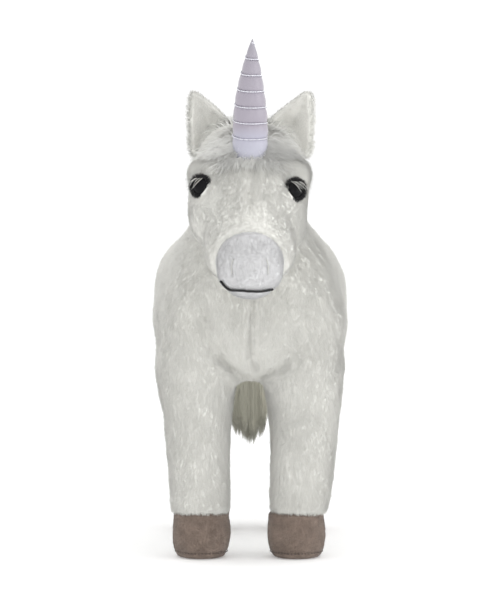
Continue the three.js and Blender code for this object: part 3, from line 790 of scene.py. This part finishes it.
body = body_skin()
BODY_PIECES = {
    "flank_front_left": ("body_cover_left", "body_stuffing"),
    "flank_front_right": ("body_cover_right",),
    "belly": ("belly_panel",),
    "neck_left": ("neck_cover_left", "neck_stuffing"),
    "neck_right": ("neck_cover_right",),
}
for where in (f"{end}_{side}" for end in HIPS for side, _ in SIDES):
    BODY_PIECES[f"leg_{where}"] = (f"leg_cover_{where}", f"leg_stuffing_{where}")
for i, (name, panel) in enumerate(body.items()):
    plush(name, panel, body_hold(name), BODY_PIECES.get(name), 100 + i, fill=0.75, flow=body_flow)

# ---------------------------------------------------------------- hooves

HOOF_RADIUS = (HOOF_HIGH[0] - HOOF_LOW[0]) / 2
SOLE_TOP = node_box("hoof_sole_front_left")[1][2]
SEAM_RISE = 0.6  # how far the seam lies above the sole
HOOF_STITCHES = 46


def hoof(end, side, sign):
    outward = {"front_left": -2.2, "front_right": 0.0}.get(f"{end}_{side}", 2.5)
    centre = np.array([sign * (FOOT_X + outward), HIPS[end][1], 0.0])
    outline = curve([(0, 0.4), (11, 0.2), (17.5, 0.2), (21.8, 2.6), (24.6, 9), (26, 18), (26.1, 27),
                     (25.2, 35), (23.5, 41), (12, 46), (0, 47)], 54)
    outline = np.maximum(outline, 0)
    angle = full_turn(64)
    rings = []
    for radius, height in outline[1:-1]:
        seam = 0.9 * math.exp(-(((height - SOLE_TOP - SEAM_RISE) / 1.3) ** 2))
        wobble = 0.35 * np.sin(3 * angle + height / 9 + sign) + 0.25 * np.sin(5 * angle - height / 6)
        grow = radius - seam + wobble * min(1, radius / 20)
        rings.append(turned(grow, angle, height))
    hubs = [(0, 0, outline[k, 1]) for k in (0, -1)]
    points, quads, fans = closed_rings(np.array(rings), *hubs)
    points = points + centre
    where = f"{end}_{side}"
    form = make_mesh(f"hoof_{where}", points, [quads, fans], [hoof_cloth])
    height = points[quads].mean(1)[:, 2]
    side_faces = quads[(height > 1.5) & (height < HOOF_TOP)]
    panel = (points, [side_faces], normals_of(points, quads))
    nap = pile(f"hoof_nap_{where}", panel, 300 + sign + 7 * len(end), density=2.2, length=1.5,
               radius=0.28, materials=hoof_pile, slot="hoof_velour", lay=0.35, messy=0.4)
    ring = stitch_ring(f"hoof_stitches_{where}", centre, SOLE_TOP + SEAM_RISE, HOOF_RADIUS - 1.9)
    for piece in (form, nap, ring):
        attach(piece, f"leg_{where}")
    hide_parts(f"hoof_cover_{where}", f"hoof_sole_{where}")


def stitch_ring(name, centre, height, radius):
    """Stitches in a ring, each a little longer than the gap that follows it."""
    angle = full_turn(HOOF_STITCHES)
    half = 0.62 * np.pi / HOOF_STITCHES * 0.9
    starts, finishes = (centre + turned(radius, angle + way * half, height) for way in (-1, 1))
    return stitches(name, starts, finishes, 0.5, thread_taupe)


for end in HIPS:
    for side, sign in SIDES:
        hoof(end, side, sign)

# ---------------------------------------------------------------- head

HEAD_HALF = 56.0
HEAD_RINGS = [
    (-45, 371, 0.30, 0.32, -59), (-54, 367, 0.7, 0.68, -59), (-72, 358, 0.91, 0.92, -59),
    (-98, 345, 1.0, 1.0, -59), (-125, 329, 0.98, 0.98, -59), (-150, 312, 0.84, 0.87, -59),
    (-172, 294, 0.655, 0.75, -48), (-191, 276, 0.545, 0.63, -48), (-207, 262, 0.49, 0.54, -48),
    (-217, 255, 0.2, 0.2, -48),
]
HEAD_DEEP = 49.0
DESIGN_SHIFT = TURN[1] + 80  # the rings are given with the head's turning axis at y = -80
MUZZLE_SEAM = np.array([0, -188 + DESIGN_SHIFT, 278])
NOSEWARD = unit(np.array([0, -0.76, -0.65]))
MOUTH_BOX = node_box("mouth_stitching")
MOUTH_Z = MOUTH_BOX[0][2] + 1


def head_field(room):
    rings = [(y + DESIGN_SHIFT, z, across * HEAD_HALF - PLUSH, deep * HEAD_DEEP - PLUSH, tilt)
             for y, z, across, deep, tilt in HEAD_RINGS]
    points, quads = loft(rings)
    field = room.solid(points, quads)
    shift = DESIGN_SHIFT
    muzzle = room.ellipsoid((0, -198 + shift, 266.3), (26, 20, 25.3), lean=-40)
    bridge = room.ellipsoid((0, -171 + shift, 303), (17, 11, 10), lean=-45)
    field = melt(field, bridge, 8)
    field = melt(field, muzzle, 7)
    for sign in (1, -1):
        brow = room.ellipsoid((sign * 35, -128 + shift, 352), (19, 17, 14), lean=-30)
        cheek = room.ellipsoid((sign * 28.5, -128 + shift, 312), (24, 34, 26), lean=-35)
        jaw = room.ellipsoid((sign * 20, -163 + shift, 282), (20, 24, 22), lean=-45)
        field = melt(melt(melt(field, brow, 10), cheek, 14), jaw, 12)
    poll = room.ellipsoid((0, -98 + shift, 374), (40, 34, 20), lean=-20)
    return melt(field, poll, 14)


def head_skin():
    low = (-66, -226 + DESIGN_SHIFT, 226)
    high = (66, -28 + DESIGN_SHIFT, 404)
    room = Room(low, high, 2.0)
    points, quads = room.surface(head_field(room))
    slim = 1 - 0.075 * np.exp(-(((points[:, 2] - 316) / 20) ** 2))
    points[:, 0] *= np.where(points[:, 0] > 0, slim, 1)
    normals = normals_of(points, quads)
    away = (points - MUZZLE_SEAM) @ NOSEWARD
    rim = 1.5 * np.exp(-((away / 2.0) ** 2)) - 0.9 * np.exp(-(((away + 5) / 3.0) ** 2))
    points = points - normals * rim[:, None]
    for line, depth, width in FACE_CREASES:
        points = crease(points, normals, line, depth, width, facing=0.1, swell=depth * 0.2)
    mouth = np.abs(points[:, 2] - MOUTH_Z)
    points = points - normals * (np.exp(-((mouth / 2.5) ** 2)) * (away > 0))[:, None]
    ripple = 0.45 * drift(points, 24, 31) * (away < 0)
    return points + normals * ripple[:, None], quads


FACE_CREASES = [
    ([(3, 357), (3.5, 346), (2, 332)], 1.3, 4.5),
    ([(-14, 354), (-11, 340), (-15, 322)], 0.9, 4.5),
    ([(16, 354), (15, 338), (21, 320)], 1.0, 4.5),
    ([(-15.5, 277), (-16.5, 269), (-15.5, 263)], 1.0, 1.8),
    ([(12.5, 276), (14.5, 269), (15.5, 262)], 1.0, 1.8),
]
UNDER_MOUTH = unit(np.array([0, 0.25, -0.97]))
MOUTH_FRONT = np.array([0, -222 + DESIGN_SHIFT, MOUTH_Z])
FOREHEAD_HALF = 20.0
FOREHEAD_UP = unit(np.array([0, -0.515, 0.857]))
FOREHEAD_LOW = np.array([0, -98 + DESIGN_SHIFT, 350])

head_points, head_quads = head_skin()
head_cut = cut_skin(head_points, head_quads, [
    ((0, 0, 0), (1, 0, 0)), (MUZZLE_SEAM, NOSEWARD), (MOUTH_FRONT, UNDER_MOUTH),
    ((FOREHEAD_HALF, 0, 0), (1, 0, 0)), ((-FOREHEAD_HALF, 0, 0), (1, 0, 0)),
    (FOREHEAD_LOW, FOREHEAD_UP),
])
head_tree = BVHTree.FromPolygons(head_points.tolist(), head_quads.tolist())


def on_face(x, z, lift=0.0):
    """The point of the head that a line from far in front reaches first, and the cloth's normal there."""
    place, normal, _, _ = head_tree.ray_cast(Vector((x, -600, z)), Vector((0, 1, 0)))
    return np.array(place) + np.array(normal) * lift, np.array(normal)


def on_head(place, lift=0.0):
    """The nearest point of the head's cloth, and its normal there."""
    near, normal, _, _ = head_tree.find_nearest(Vector(place))
    return np.array(near) + np.array(normal) * lift, np.array(normal)


def head_names(middle):
    side = np.where(middle[:, 0] > 0, "left", "right").astype(object)
    part = "head_" + side
    top = (np.abs(middle[:, 0]) < FOREHEAD_HALF) & ((middle - FOREHEAD_LOW) @ FOREHEAD_UP > 0)
    part[top] = "forehead"
    nose = (middle - MUZZLE_SEAM) @ NOSEWARD > 0
    part[nose] = "muzzle"
    part[nose & ((middle - MOUTH_FRONT) @ UNDER_MOUTH > 0)] = "chin"
    return part


def head_flow(place):
    """The pile runs from the horn's base down the face, and back over the cheeks."""
    down = np.tile([0.0, -0.5, -1.0], (len(place), 1))
    down[:, 0] = place[:, 0] * 0.012
    behind = np.clip((place[:, 1] - HORN[1] - 10) / 30, 0, 1)[:, None]
    return down * (1 - behind) + np.array([0.0, 1.0, -0.5]) * behind


def head_longer(place, normal):
    """Longer pile on the brow and poll, shorter near the muzzle."""
    high = np.clip((place[:, 2] - 330) / 40, 0, 1)
    near_nose = np.clip(((place - MUZZLE_SEAM) @ NOSEWARD + 40) / 40, 0, 1)
    return 0.9 + 0.5 * high - 0.3 * near_nose


EYE_RADIUS = 8.0
EYE_BULGE = 5.2
EYE_X = {"left": 39.0, "right": -42.8}
EYE_Z = {"left": 336.6, "right": 339.6}
EYE_AXIS = unit(np.array([0.42, -0.9, 0.12]))


def round_eyes(place):
    """Where the pile is trimmed away for the eyes."""
    found = np.zeros(len(place), bool)
    for side, sign in SIDES:
        seat, _ = on_face(EYE_X[side], EYE_Z[side])
        away = np.cross(place - seat, EYE_AXIS * np.array([sign, 1, 1]))
        found |= (np.linalg.norm(away, axis=1) < EYE_RADIUS + 0.3) & (place[:, 1] < TURN[1])
    return found


head = panels(head_cut, head_names)
HEAD_PIECES = {
    "head_left": ("head_cover_left", "head_stuffing"),
    "head_right": ("head_cover_right",),
    "forehead": ("forehead_panel",),
    "muzzle": ("muzzle_cover",),
    "chin": ("chin_panel",),
}
SHORT = {"fabric": muzzle_cloth, "slot": "short_pile", "materials": muzzle_pile, "density": 2.2,
         "length": 1.9, "radius": 0.24, "lay": 0.3, "messy": 0.3}
LONG = {"density": 1.7, "length": 3.8, "radius": 0.3, "lift": 0.4, "lay": 0.9, "messy": 0.13,
        "longer": head_longer, "bare": round_eyes}
for i, (name, panel) in enumerate(head.items()):
    looks = SHORT if name in ("muzzle", "chin") else LONG
    plush(name, panel, riding("head"), HEAD_PIECES[name], 200 + i, fill=0.8, flow=head_flow, **looks)

# ---------------------------------------------------------------- eyes


def frame_of(axis):
    """Two directions across an axis, the second as near upright as it can be."""
    axis = unit(np.array(axis, float))
    across = unit(np.cross(np.array([0, 0, 1.0]), axis))
    return across, np.cross(axis, across), axis


def eye(side, sign):
    seat, _ = on_face(EYE_X[side], EYE_Z[side], 0.6)
    across, up, axis = frame_of(EYE_AXIS * np.array([sign, 1, 1]))
    place = np.stack([across, up, axis])
    quarter = np.linspace(0, math.pi / 2, 12)
    dome = [(EYE_RADIUS * math.cos(a), EYE_BULGE * math.sin(a)) for a in quarter[:-1]]
    profile = [(0, -13), (1.8, -13), (2.0, -12.6), (2.0, -1.6), (EYE_RADIUS - 0.6, -1.4),
               (EYE_RADIUS, -0.8), *dome, (0, EYE_BULGE)]
    points, *faces = lathe(profile)
    ball = make_mesh(f"safety_eye_{side}", points @ place + seat, faces, [eye_black])
    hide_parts(f"eye_{side}")
    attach(ball, "head")
    # black lashes all round the eye, longest at its outer top
    rng = np.random.default_rng(40 + sign)
    count = 1100
    angle = rng.random(count) * 2 * np.pi
    outer = np.cos(angle - (math.pi / 2 - sign * 0.7))
    radial = np.cos(angle)[:, None] * across + np.sin(angle)[:, None] * up
    root = seat + radial * (EYE_RADIUS - 1.8 + 3.4 * rng.random(count))[:, None]
    root = root + axis * (0.2 + 1.6 * rng.random(count))[:, None]
    way = unit(radial * 0.6 + axis * 0.9 + rng.normal(size=(count, 3)) * 0.25)
    fall = unit(radial + axis * 0.3 + rng.normal(size=(count, 3)) * 0.3)
    length = 2.4 + 1.2 * rng.random(count) + 0.8 * np.clip(outer, 0, 1)
    lashes = hair(f"lashes_{side}", root, way, length, fall, "head", radius=0.3, steps=4,
                  materials=lash_pile, slot="black_embroidery", seed=50 + sign)
    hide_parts(f"eyelashes_{side}")
    # hairs lying over the dome
    count = 26
    angle = rng.random(count) * 2 * np.pi
    radial = np.cos(angle)[:, None] * across + np.sin(angle)[:, None] * up
    root = seat + radial * (EYE_RADIUS + 0.5) + axis * 0.8
    over = unit(-radial * 0.8 + axis * 0.75 + up * 0.4 + rng.normal(size=(count, 3)) * 0.2)
    fall = unit(-radial + axis * 0.1 + rng.normal(size=(count, 3)) * 0.25)
    hair(f"lashes_over_{side}", root, over, 6 + 4 * rng.random(count), fall, "head", radius=0.22, steps=6,
         materials=lash_pile, slot="black_embroidery", seed=60 + sign)
    # a few white hairs of the brow fall over the eye
    count = 4 if sign < 0 else 9
    root = seat + up * (EYE_RADIUS - 1.0) + across * (rng.random((count, 1)) * 10 - 5) + axis * 4.0
    way = unit(axis - up * 0.3 + rng.normal(size=(count, 3)) * 0.1)
    fall = unit(-up + across * (0.6 * sign) + axis * 0.1 + rng.normal(size=(count, 3)) * 0.15)
    hair(f"brow_hairs_{side}", root, way, 13 + 5 * rng.random(count), fall, "head",
         radius=0.34 if sign < 0 else 0.2, steps=8, wave=0.05, seed=70 + sign)


for side, sign in SIDES:
    eye(side, sign)

# ---------------------------------------------------------------- mouth and nostrils

MOUTH = [(-24, 257), (-20, 252.5), (-15.5, 249.8), (-9, 249.4), (0, 248.6), (9, 248.6), (19, 250.5)]


def mouth():
    """A line of overlapping satin stitches, a little higher at its right end."""
    rng = np.random.default_rng(8)
    line = np.array([on_face(x, z + 0.8, 1.7)[0] for x, z in curve(MOUTH, 30)])
    middles = (line[:-1] + line[1:]) / 2
    along = unit(line[1:] - line[:-1])
    slant = along + np.array([0, 0, 0.16]) + rng.normal(size=along.shape) * 0.05
    half = 1.55
    made = stitches("mouth_stitches", middles - slant * half, middles + slant * half, 1.1,
                    thread_black, sides=8)
    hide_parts("mouth_stitching")
    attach(made, "head")


def nostril(side, sign):
    line = [on_face(sign * x, z, 0.5)[0] for x, z in ((14.2, 276), (15.6, 270), (15.2, 263.5))]
    made = tubes(f"nostril_tuck_{side}", [curve(line, 12)], 0.35, thread_white)
    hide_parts(f"nostril_stitch_{side}")
    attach(made, "head")


def rim_stitches():
    """Small stitches that tack the muzzle's rim to the face."""
    starts = np.array([on_face(x, 300.5 - 0.02 * x * x, 3.0)[0] for x in (-9, -5, -1, 3, 6)])
    made = stitches("rim_stitches", starts, starts + np.array([1.7, 0, 0.25]), 0.32, thread_white)
    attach(made, "head")


mouth()
rim_stitches()
for side, sign in SIDES:
    nostril(side, sign)

# ---------------------------------------------------------------- horn

HORN_LENGTH = 101.0
HORN_RADIUS = 15.6
HORN_LEAN = math.radians(12)
THREAD_START = 10.0
THREAD_PITCH = 14.0
THREAD_LEVEL = 2.0  # the thread is wound more level across the front than round the back


def horn_radius(share):
    return HORN_RADIUS * np.sin(np.pi / 2 * np.minimum(1, (1 - share) / 0.85)) ** 0.85


def from_thread(angle, height):
    """How far up or down the nearest turn is of the thread, which runs down from right to left."""
    turns = (height - THREAD_START - THREAD_LEVEL * np.cos(angle)) / THREAD_PITCH + angle / (2 * np.pi)
    return (turns - np.round(turns)) * THREAD_PITCH


def stand_horn(points):
    """Leans what is made about +Z over the toy's nose, with its root in the head."""
    x, y, z = points.T
    cos, sin = math.cos(HORN_LEAN), math.sin(HORN_LEAN)
    return HORN + np.stack([x + 0.0002 * z**2, y * cos - z * sin, y * sin + z * cos], 1)


def horn():
    shares = np.linspace(-0.07, 0.985, 170)
    height, turn = np.meshgrid(shares * HORN_LENGTH, full_turn(96), indexing="ij")
    radius = horn_radius(np.clip(height / HORN_LENGTH, 0, 1))
    away = from_thread(turn, height)
    drawn = np.clip((height - 5) / 5, 0, 1) * np.clip((98 - height) / 12, 0.2, 1)
    radius = radius - drawn * 0.75 * np.exp(-((away / 1.4) ** 2))
    radius = radius + drawn * 0.28 * np.cos(away / 7 * np.pi + np.pi)
    pucker = np.sin(turn * 19 + 2 * np.sin(height / 3)) * 0.16 * np.exp(-((away / 3.5) ** 2))
    pucker += 0.25 * np.sin(turn * 3 + height / 11) * (radius / HORN_RADIUS)
    seam = 0.7 * np.exp(-(((turn - np.pi * 0.5) / 0.07) ** 2))
    radius = np.maximum(radius + drawn * pucker - seam, 0.5)
    rings = turned(radius, turn, height)
    points, *faces = closed_rings(rings, (0, 0, height[0, 0]), (0, 0, HORN_LENGTH))
    cover = make_mesh("horn_satin_cover", stand_horn(points), faces, [horn_satin])
    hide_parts("horn_cover", "horn_stuffing")
    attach(cover, "horn")
    # the thread: two metallic ends twisted together
    turns = np.linspace(0, 6.3, 640)
    angle = -2 * np.pi * turns
    height = THREAD_START + THREAD_PITCH * turns + THREAD_LEVEL * np.cos(angle)
    base = horn_radius(np.minimum(height / HORN_LENGTH, 1)) - 0.05
    ends = []
    for phase in (0, np.pi):
        twist = turns * 2 * np.pi * 17 + phase
        r = base + 0.26 * np.cos(twist)
        ends.append(stand_horn(turned(r, angle, height + 0.26 * np.sin(twist))))
    thread = tubes("horn_glitter_thread", ends, 0.36, glitter_thread)
    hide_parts("horn_thread")
    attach(thread, "horn")


horn()

# ---------------------------------------------------------------- ears

EAR = PIVOT["ear_left_flop"]
EAR_OUTLINE = [(-19, 15), (-12, 22), (-3, 30), (6, 37), (11, 41), (15, 41.6), (18, 38), (18.8, 29),
               (19, 17), (18.8, 4), (17.5, -10), (12, -16), (-4, -5), (-16, 5)]
EAR_HALF = 3.4
EAR_WIDER = {"left": 1.1, "right": 1.0}
EAR_TALLER = 1.03


def ear_flat(x, z):
    """Signed distance in the ear's own plane from its outline; x and z are from its pivot."""
    outline = np.array(EAR_OUTLINE, float)
    closed = np.concatenate([outline, outline[:1]])
    dense = curve(closed, 120)
    best = np.full(x.shape, 1e9)
    inside = np.zeros(x.shape, bool)
    for (ax, az), (bx, bz) in zip(dense[:-1], dense[1:]):
        dx, dz = bx - ax, bz - az
        t = np.clip(((x - ax) * dx + (z - az) * dz) / (dx * dx + dz * dz + 1e-9), 0, 1)
        best = np.minimum(best, np.hypot(x - ax - t * dx, z - az - t * dz))
        crosses = ((az > z) != (bz > z)) & (x < ax + (z - az) * dx / (dz if abs(dz) > 1e-9 else 1e-9))
        inside ^= crosses
    return np.where(inside, -best, best)


def ear_middle(flat, x, z):
    """How far back the middle of the ear's thickness lies: its front is cupped."""
    cup = 5.0 * np.clip(-(flat + EAR_HALF) / 13, 0, 1) ** 1.3
    tuck = 2.2 * np.exp(-(((x + 2) ** 2 + (z - 14) ** 2) / 60))
    return cup - 0.05 * z + tuck


def ear(side, sign):
    pivot = EAR * np.array([sign, 1, 1])
    room = Room((-26, -12, -22), (28, 14, 50), 1.25)
    flat = ear_flat(*np.broadcast_arrays(room.x, room.z))
    middle = ear_middle(flat, room.x, room.z)
    rim = np.maximum(flat + EAR_HALF, 0)
    field = np.sqrt(rim**2 + (room.y - middle) ** 2) - EAR_HALF
    points, quads = room.surface(field)
    points = points * np.array([sign * EAR_WIDER[side], 1, EAR_TALLER])
    if sign < 0:
        quads = quads[:, ::-1]
    skin = cut_skin(points, quads, [])

    def name_of(middles):
        x, z = middles[:, 0] * sign / EAR_WIDER[side], middles[:, 2] / EAR_TALLER
        flat_here = ear_flat(x, z)
        front = middles[:, 1] < ear_middle(flat_here, x, z) - 1.5
        return np.where(front & (flat_here < -3.6), "ear_lining", "ear_back").astype(object)

    rng = np.random.default_rng(90 + sign)
    for name, (points, groups, normals) in panels(skin, name_of).items():
        panel = (points + pivot, groups, normals)
        hold = riding(f"ear_{side}")
        called = f"{name}_{side}"
        if name == "ear_lining":
            plush(called, panel, hold, (called,), 95 + sign, fabric=lining_cloth, slot="ear_lining_plush",
                  thickness=1.0, density=2.0, length=2.0, radius=0.22, lay=0.9, lift=0.45, messy=0.15,
                  flow=lambda p: np.tile([0.0, 0.0, 1.0], (len(p), 1)))
            continue
        plush(called, panel, hold, (called,), 97 + sign, thickness=1.0, density=1.5, length=4.6,
              radius=0.26, messy=0.3, flow=lambda p: np.tile([sign * 0.5, 0.2, 0.5], (len(p), 1)),
              longer=lambda p, n: 0.7 + 0.6 * np.clip(n[:, 0] * sign, 0, 1))
        place, normal = scatter(panel, 0.5, rng)
        edge = (normal[:, 0] * sign > 0.35) & (place[:, 2] < pivot[2] + 38)
        place, normal = place[edge], normal[edge]
        way = unit(normal + np.array([sign * 0.4, 0, 0.35]) + rng.normal(size=place.shape) * 0.25)
        fall = unit(np.array([sign * 0.8, 0.1, -0.25]) + rng.normal(size=place.shape) * 0.35)
        hair(f"ear_wisps_{side}", place, way, 4 + 3 * rng.random(len(place)), fall, f"ear_{side}",
             radius=0.22, steps=5, seed=98 + sign)


for side, sign in SIDES:
    ear(side, sign)

# ---------------------------------------------------------------- forelock, tufts and mane


def head_hair(name, seed, centre, spread, count, length, way, fall, **more):
    """Hair rooted on the head about a place, over a spread in x, y and z."""
    rng = np.random.default_rng(seed)
    guess = np.array(centre) + rng.normal(size=(count, 3)) * np.array(spread)
    seats = [on_head(g, -0.5) for g in guess]
    roots = np.array([s[0] for s in seats])
    normals = np.array([s[1] for s in seats])
    ways = unit(normals * 0.7 + way(roots) + rng.normal(size=roots.shape) * 0.14)
    falls = unit(fall(roots) + normals * 0.12 + rng.normal(size=roots.shape) * 0.16)
    lengths = length * (0.7 + 0.5 * rng.random(count))
    facing = unit(normals + np.array([0, -0.2, 0.2]))
    return hair(name, roots, ways, lengths, falls, "head", seed=seed, facing=facing, **more)


def away_from_horn(roots):
    out = roots - HORN
    out[:, 2] = 0
    return unit(out)


DOWN = np.array([0.0, -0.45, -1.0])
forelock = head_hair("forelock_hair", 120, HORN + np.array([0, -16, -5]), (15, 4, 4), 900, 12.0,
                     lambda r: away_from_horn(r) * 0.5 + DOWN * 0.3,
                     lambda r: away_from_horn(r) * 0.25 + DOWN, radius=0.27, steps=6)
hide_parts("forelock")
for side, sign in SIDES:
    head_hair(f"horn_tuft_{side}", 122 + sign, HORN + np.array([sign * 22, 2, 4]), (8, 8, 4), 1300, 13.0,
              lambda r: away_from_horn(r) * 0.5 + np.array([0, -0.2, 0.3]),
              lambda r: away_from_horn(r) * 0.8 + DOWN * 0.9, radius=0.26, steps=6)
    head_hair(f"cheek_wisps_{side}", 126 + sign, np.array([sign * 54, EAR[1] - 2, 358]), (1, 9, 12), 260,
              7.5, lambda r, s=sign: np.array([s * 0.8, 0, 0.1]),
              lambda r, s=sign: np.array([s * 0.8, 0, -0.6]), radius=0.22)
BACK = np.array([0.0, 1.0, -0.35])
poll = head_hair("poll_mane_hair", 130, (0, TURN[1] + 14, 380), (9, 22, 6), 2600, 24.0,
                 lambda r: BACK * 0.5 + np.array([0, 0, 0.5]), lambda r: BACK + np.array([0, 0, -0.6]),
                 radius=0.3, steps=7)
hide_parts("poll_mane")


def neck_mane():
    rng = np.random.default_rng(140)
    found = [scatter(body[f"neck_{side}"], 3.0, rng) for side, _ in SIDES]
    place = np.concatenate([f[0] for f in found])
    normal = np.concatenate([f[1] for f in found])
    nape = (np.abs(place[:, 0]) < 10) & (normal[:, 1] > 0.25) & (place[:, 2] > 318)
    place, normal = place[nape], normal[nape]
    way = unit(normal * 0.8 + np.array([0, 0.3, 0.3]) + rng.normal(size=place.shape) * 0.15)
    fall = unit(np.array([0, 0.7, -0.7]) + rng.normal(size=place.shape) * 0.2)
    made = hair("neck_mane_hair", place - normal, way, 15 + 7 * rng.random(len(place)), fall, "neck",
                radius=0.3, steps=6, seed=141)
    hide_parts("neck_mane")


neck_mane()

# ---------------------------------------------------------------- tail

TAIL_LENGTH = 180.0
TAIL_HALF = 31.0
TAIL_CORE = [(1, 7, 6, 4), (2, 0, 10, 7), (5, -40, 13, 5), (7, -90, 14, 5), (6, -125, 10, 4),
             (5, -140, 3, 2)]  # back and up from its pivot, and half its width and depth
DOCK = PIVOT["tail_lift"]


def tail():
    """A thick switch of long hair round a stuffed root, in locks that end in a ragged point."""
    rng = np.random.default_rng(160)
    count = 4200
    locks = 60
    lock = rng.integers(0, locks, count)
    lock_at = rng.uniform(-1, 1, locks)
    lock_deep = rng.uniform(-1, 1, locks)
    lock_long = 1 - 0.14 * np.abs(lock_at) ** 1.4 + rng.uniform(-0.03, 0.02, locks)
    across = np.clip(lock_at[lock] + rng.normal(size=count) * 0.09, -1, 1)
    deep = np.clip(lock_deep[lock] + rng.normal(size=count) * 0.2, -1, 1)
    length = TAIL_LENGTH * (lock_long[lock] - 0.05 * rng.random(count))
    steps = 9
    share = np.linspace(0, 1, steps)[None, :]
    swell = 0.35 + 0.6 * np.sin(np.pi / 2 * np.clip(share * 1.7, 0, 1))
    x = across[:, None] * TAIL_HALF * swell
    pull = np.clip((share - 0.72) / 0.28, 0, 1) ** 1.5 * 0.85
    x = x * (1 - pull) + pull * (lock_at[lock][:, None] * TAIL_HALF * 0.85)
    depth = np.sqrt(np.maximum(1 - across**2, 0.1))
    belly_out = np.sin(np.pi * share)
    y = deep[:, None] * depth[:, None] * 15 * (0.5 + 0.6 * belly_out) + 7 * belly_out
    z = 4 - share * length[:, None]
    x = x + 0.8 * np.sin(share * 9 + lock[:, None]) * share
    paths = np.stack([x, y, z], 2) + SWING
    tint = np.digitize(rng.normal(size=count) + 0.8 * np.sin(lock * 2.3), [-0.9, 0.1, 1.1])
    # the tail hair takes the painted-shade grey-olive tints
    made = strands("tail_hair_strands", paths, 0.5, tail_pile_painted_shade, tint)
    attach(made, "tail")
    # the stuffed core that the hair is sewn round, in the same painted-shade grey
    rings = [(SWING[1] + back, SWING[2] + up, across, deep, 0) for back, up, across, deep in TAIL_CORE]
    points, quads = loft(rings, 28, 5)
    core = make_mesh("tail_core", points, [quads], [tail_pile_painted_shade[1]])
    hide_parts("tail_hair")
    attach(core, "tail")


def dock():
    """The tail's sewn root: a soft roll that hinges in the rump."""
    room = Room(DOCK - np.array([26, 22, 36]), DOCK + np.array([26, 40, 22]), 1.6)
    roll = room.ellipsoid(DOCK + np.array([0, 2, 0]), (14, 10.5, 10))
    over = room.ellipsoid((DOCK + SWING) / 2 + np.array([0, 2, 2]), (12, 12.5, 11), lean=-40)
    points, quads = room.surface(melt(roll, over, 8))
    skin = cut_skin(points, quads, [])
    panel = panels(skin, lambda m: np.full(len(m), "dock", dtype=object))["dock"]
    plush("tail_dock", panel, riding("tail_dock"), ("tail_dock",), 170, fill=0.7, density=1.4, length=8,
          radius=0.3, materials=long_pile, pile_slot="long_pile", lay=0.9,
          flow=lambda p: np.tile([0.0, 0.5, -1.0], (len(p), 1)))


tail()
dock()

# ---------------------------------------------------------------- stage, light and camera


def stage():
    bpy.ops.mesh.primitive_plane_add(size=8, location=(0, 0, 0))
    floor = bpy.context.object
    floor.name = "floor"
    material = principled("floor_paper", (0.97, 0.97, 0.97), 0.9, Emission_Color=(1, 1, 1, 1),
                          Emission_Strength=0.16)
    bump_by(material, noise(material, 30.0), 0.05, 0.001)
    floor.data.materials.append(material)


def area_light(name, place, target, size, power):
    data = bpy.data.lights.new(name, "AREA")
    data.shape = "DISK"
    data.size = size
    data.energy = power
    lamp = bpy.data.objects.new(name, data)
    lamp.location = place
    lamp.rotation_euler = (Vector(target) - Vector(place)).to_track_quat("-Z", "Y").to_euler()
    bpy.context.scene.collection.objects.link(lamp)


LENS = 138.3  # millimetres
CAMERA_PLACE = (0, -2.2, 0.3)  # metres
CAMERA_DOWN = 1.7  # degrees


def camera():
    """Level with the toy's neck, well in front of it, looking down a little."""
    data = bpy.data.cameras.new("camera")
    data.sensor_fit = "VERTICAL"
    data.sensor_height = 36
    data.lens = LENS
    eye = bpy.data.objects.new("camera", data)
    eye.location = CAMERA_PLACE
    eye.rotation_euler = (math.radians(90 - CAMERA_DOWN), 0, 0)
    bpy.context.scene.collection.objects.link(eye)
    bpy.context.scene.camera = eye


def world():
    made = bpy.data.worlds.new("studio")
    made.use_nodes = True
    background = made.node_tree.nodes["Background"]
    background.inputs["Color"].default_value = (1, 1, 1, 1)
    background.inputs["Strength"].default_value = 1.1
    bpy.context.scene.world = made


stage()
world()
camera()
area_light("key", (0.3, -1.9, 0.35), (0, 0, 0.25), 0.6, 1.0)
area_light("fill_left", (1.7, -0.8, 0.5), (0, 0, 0.22), 1.6, 7.0)
bpy.context.scene.view_settings.view_transform = "Standard"
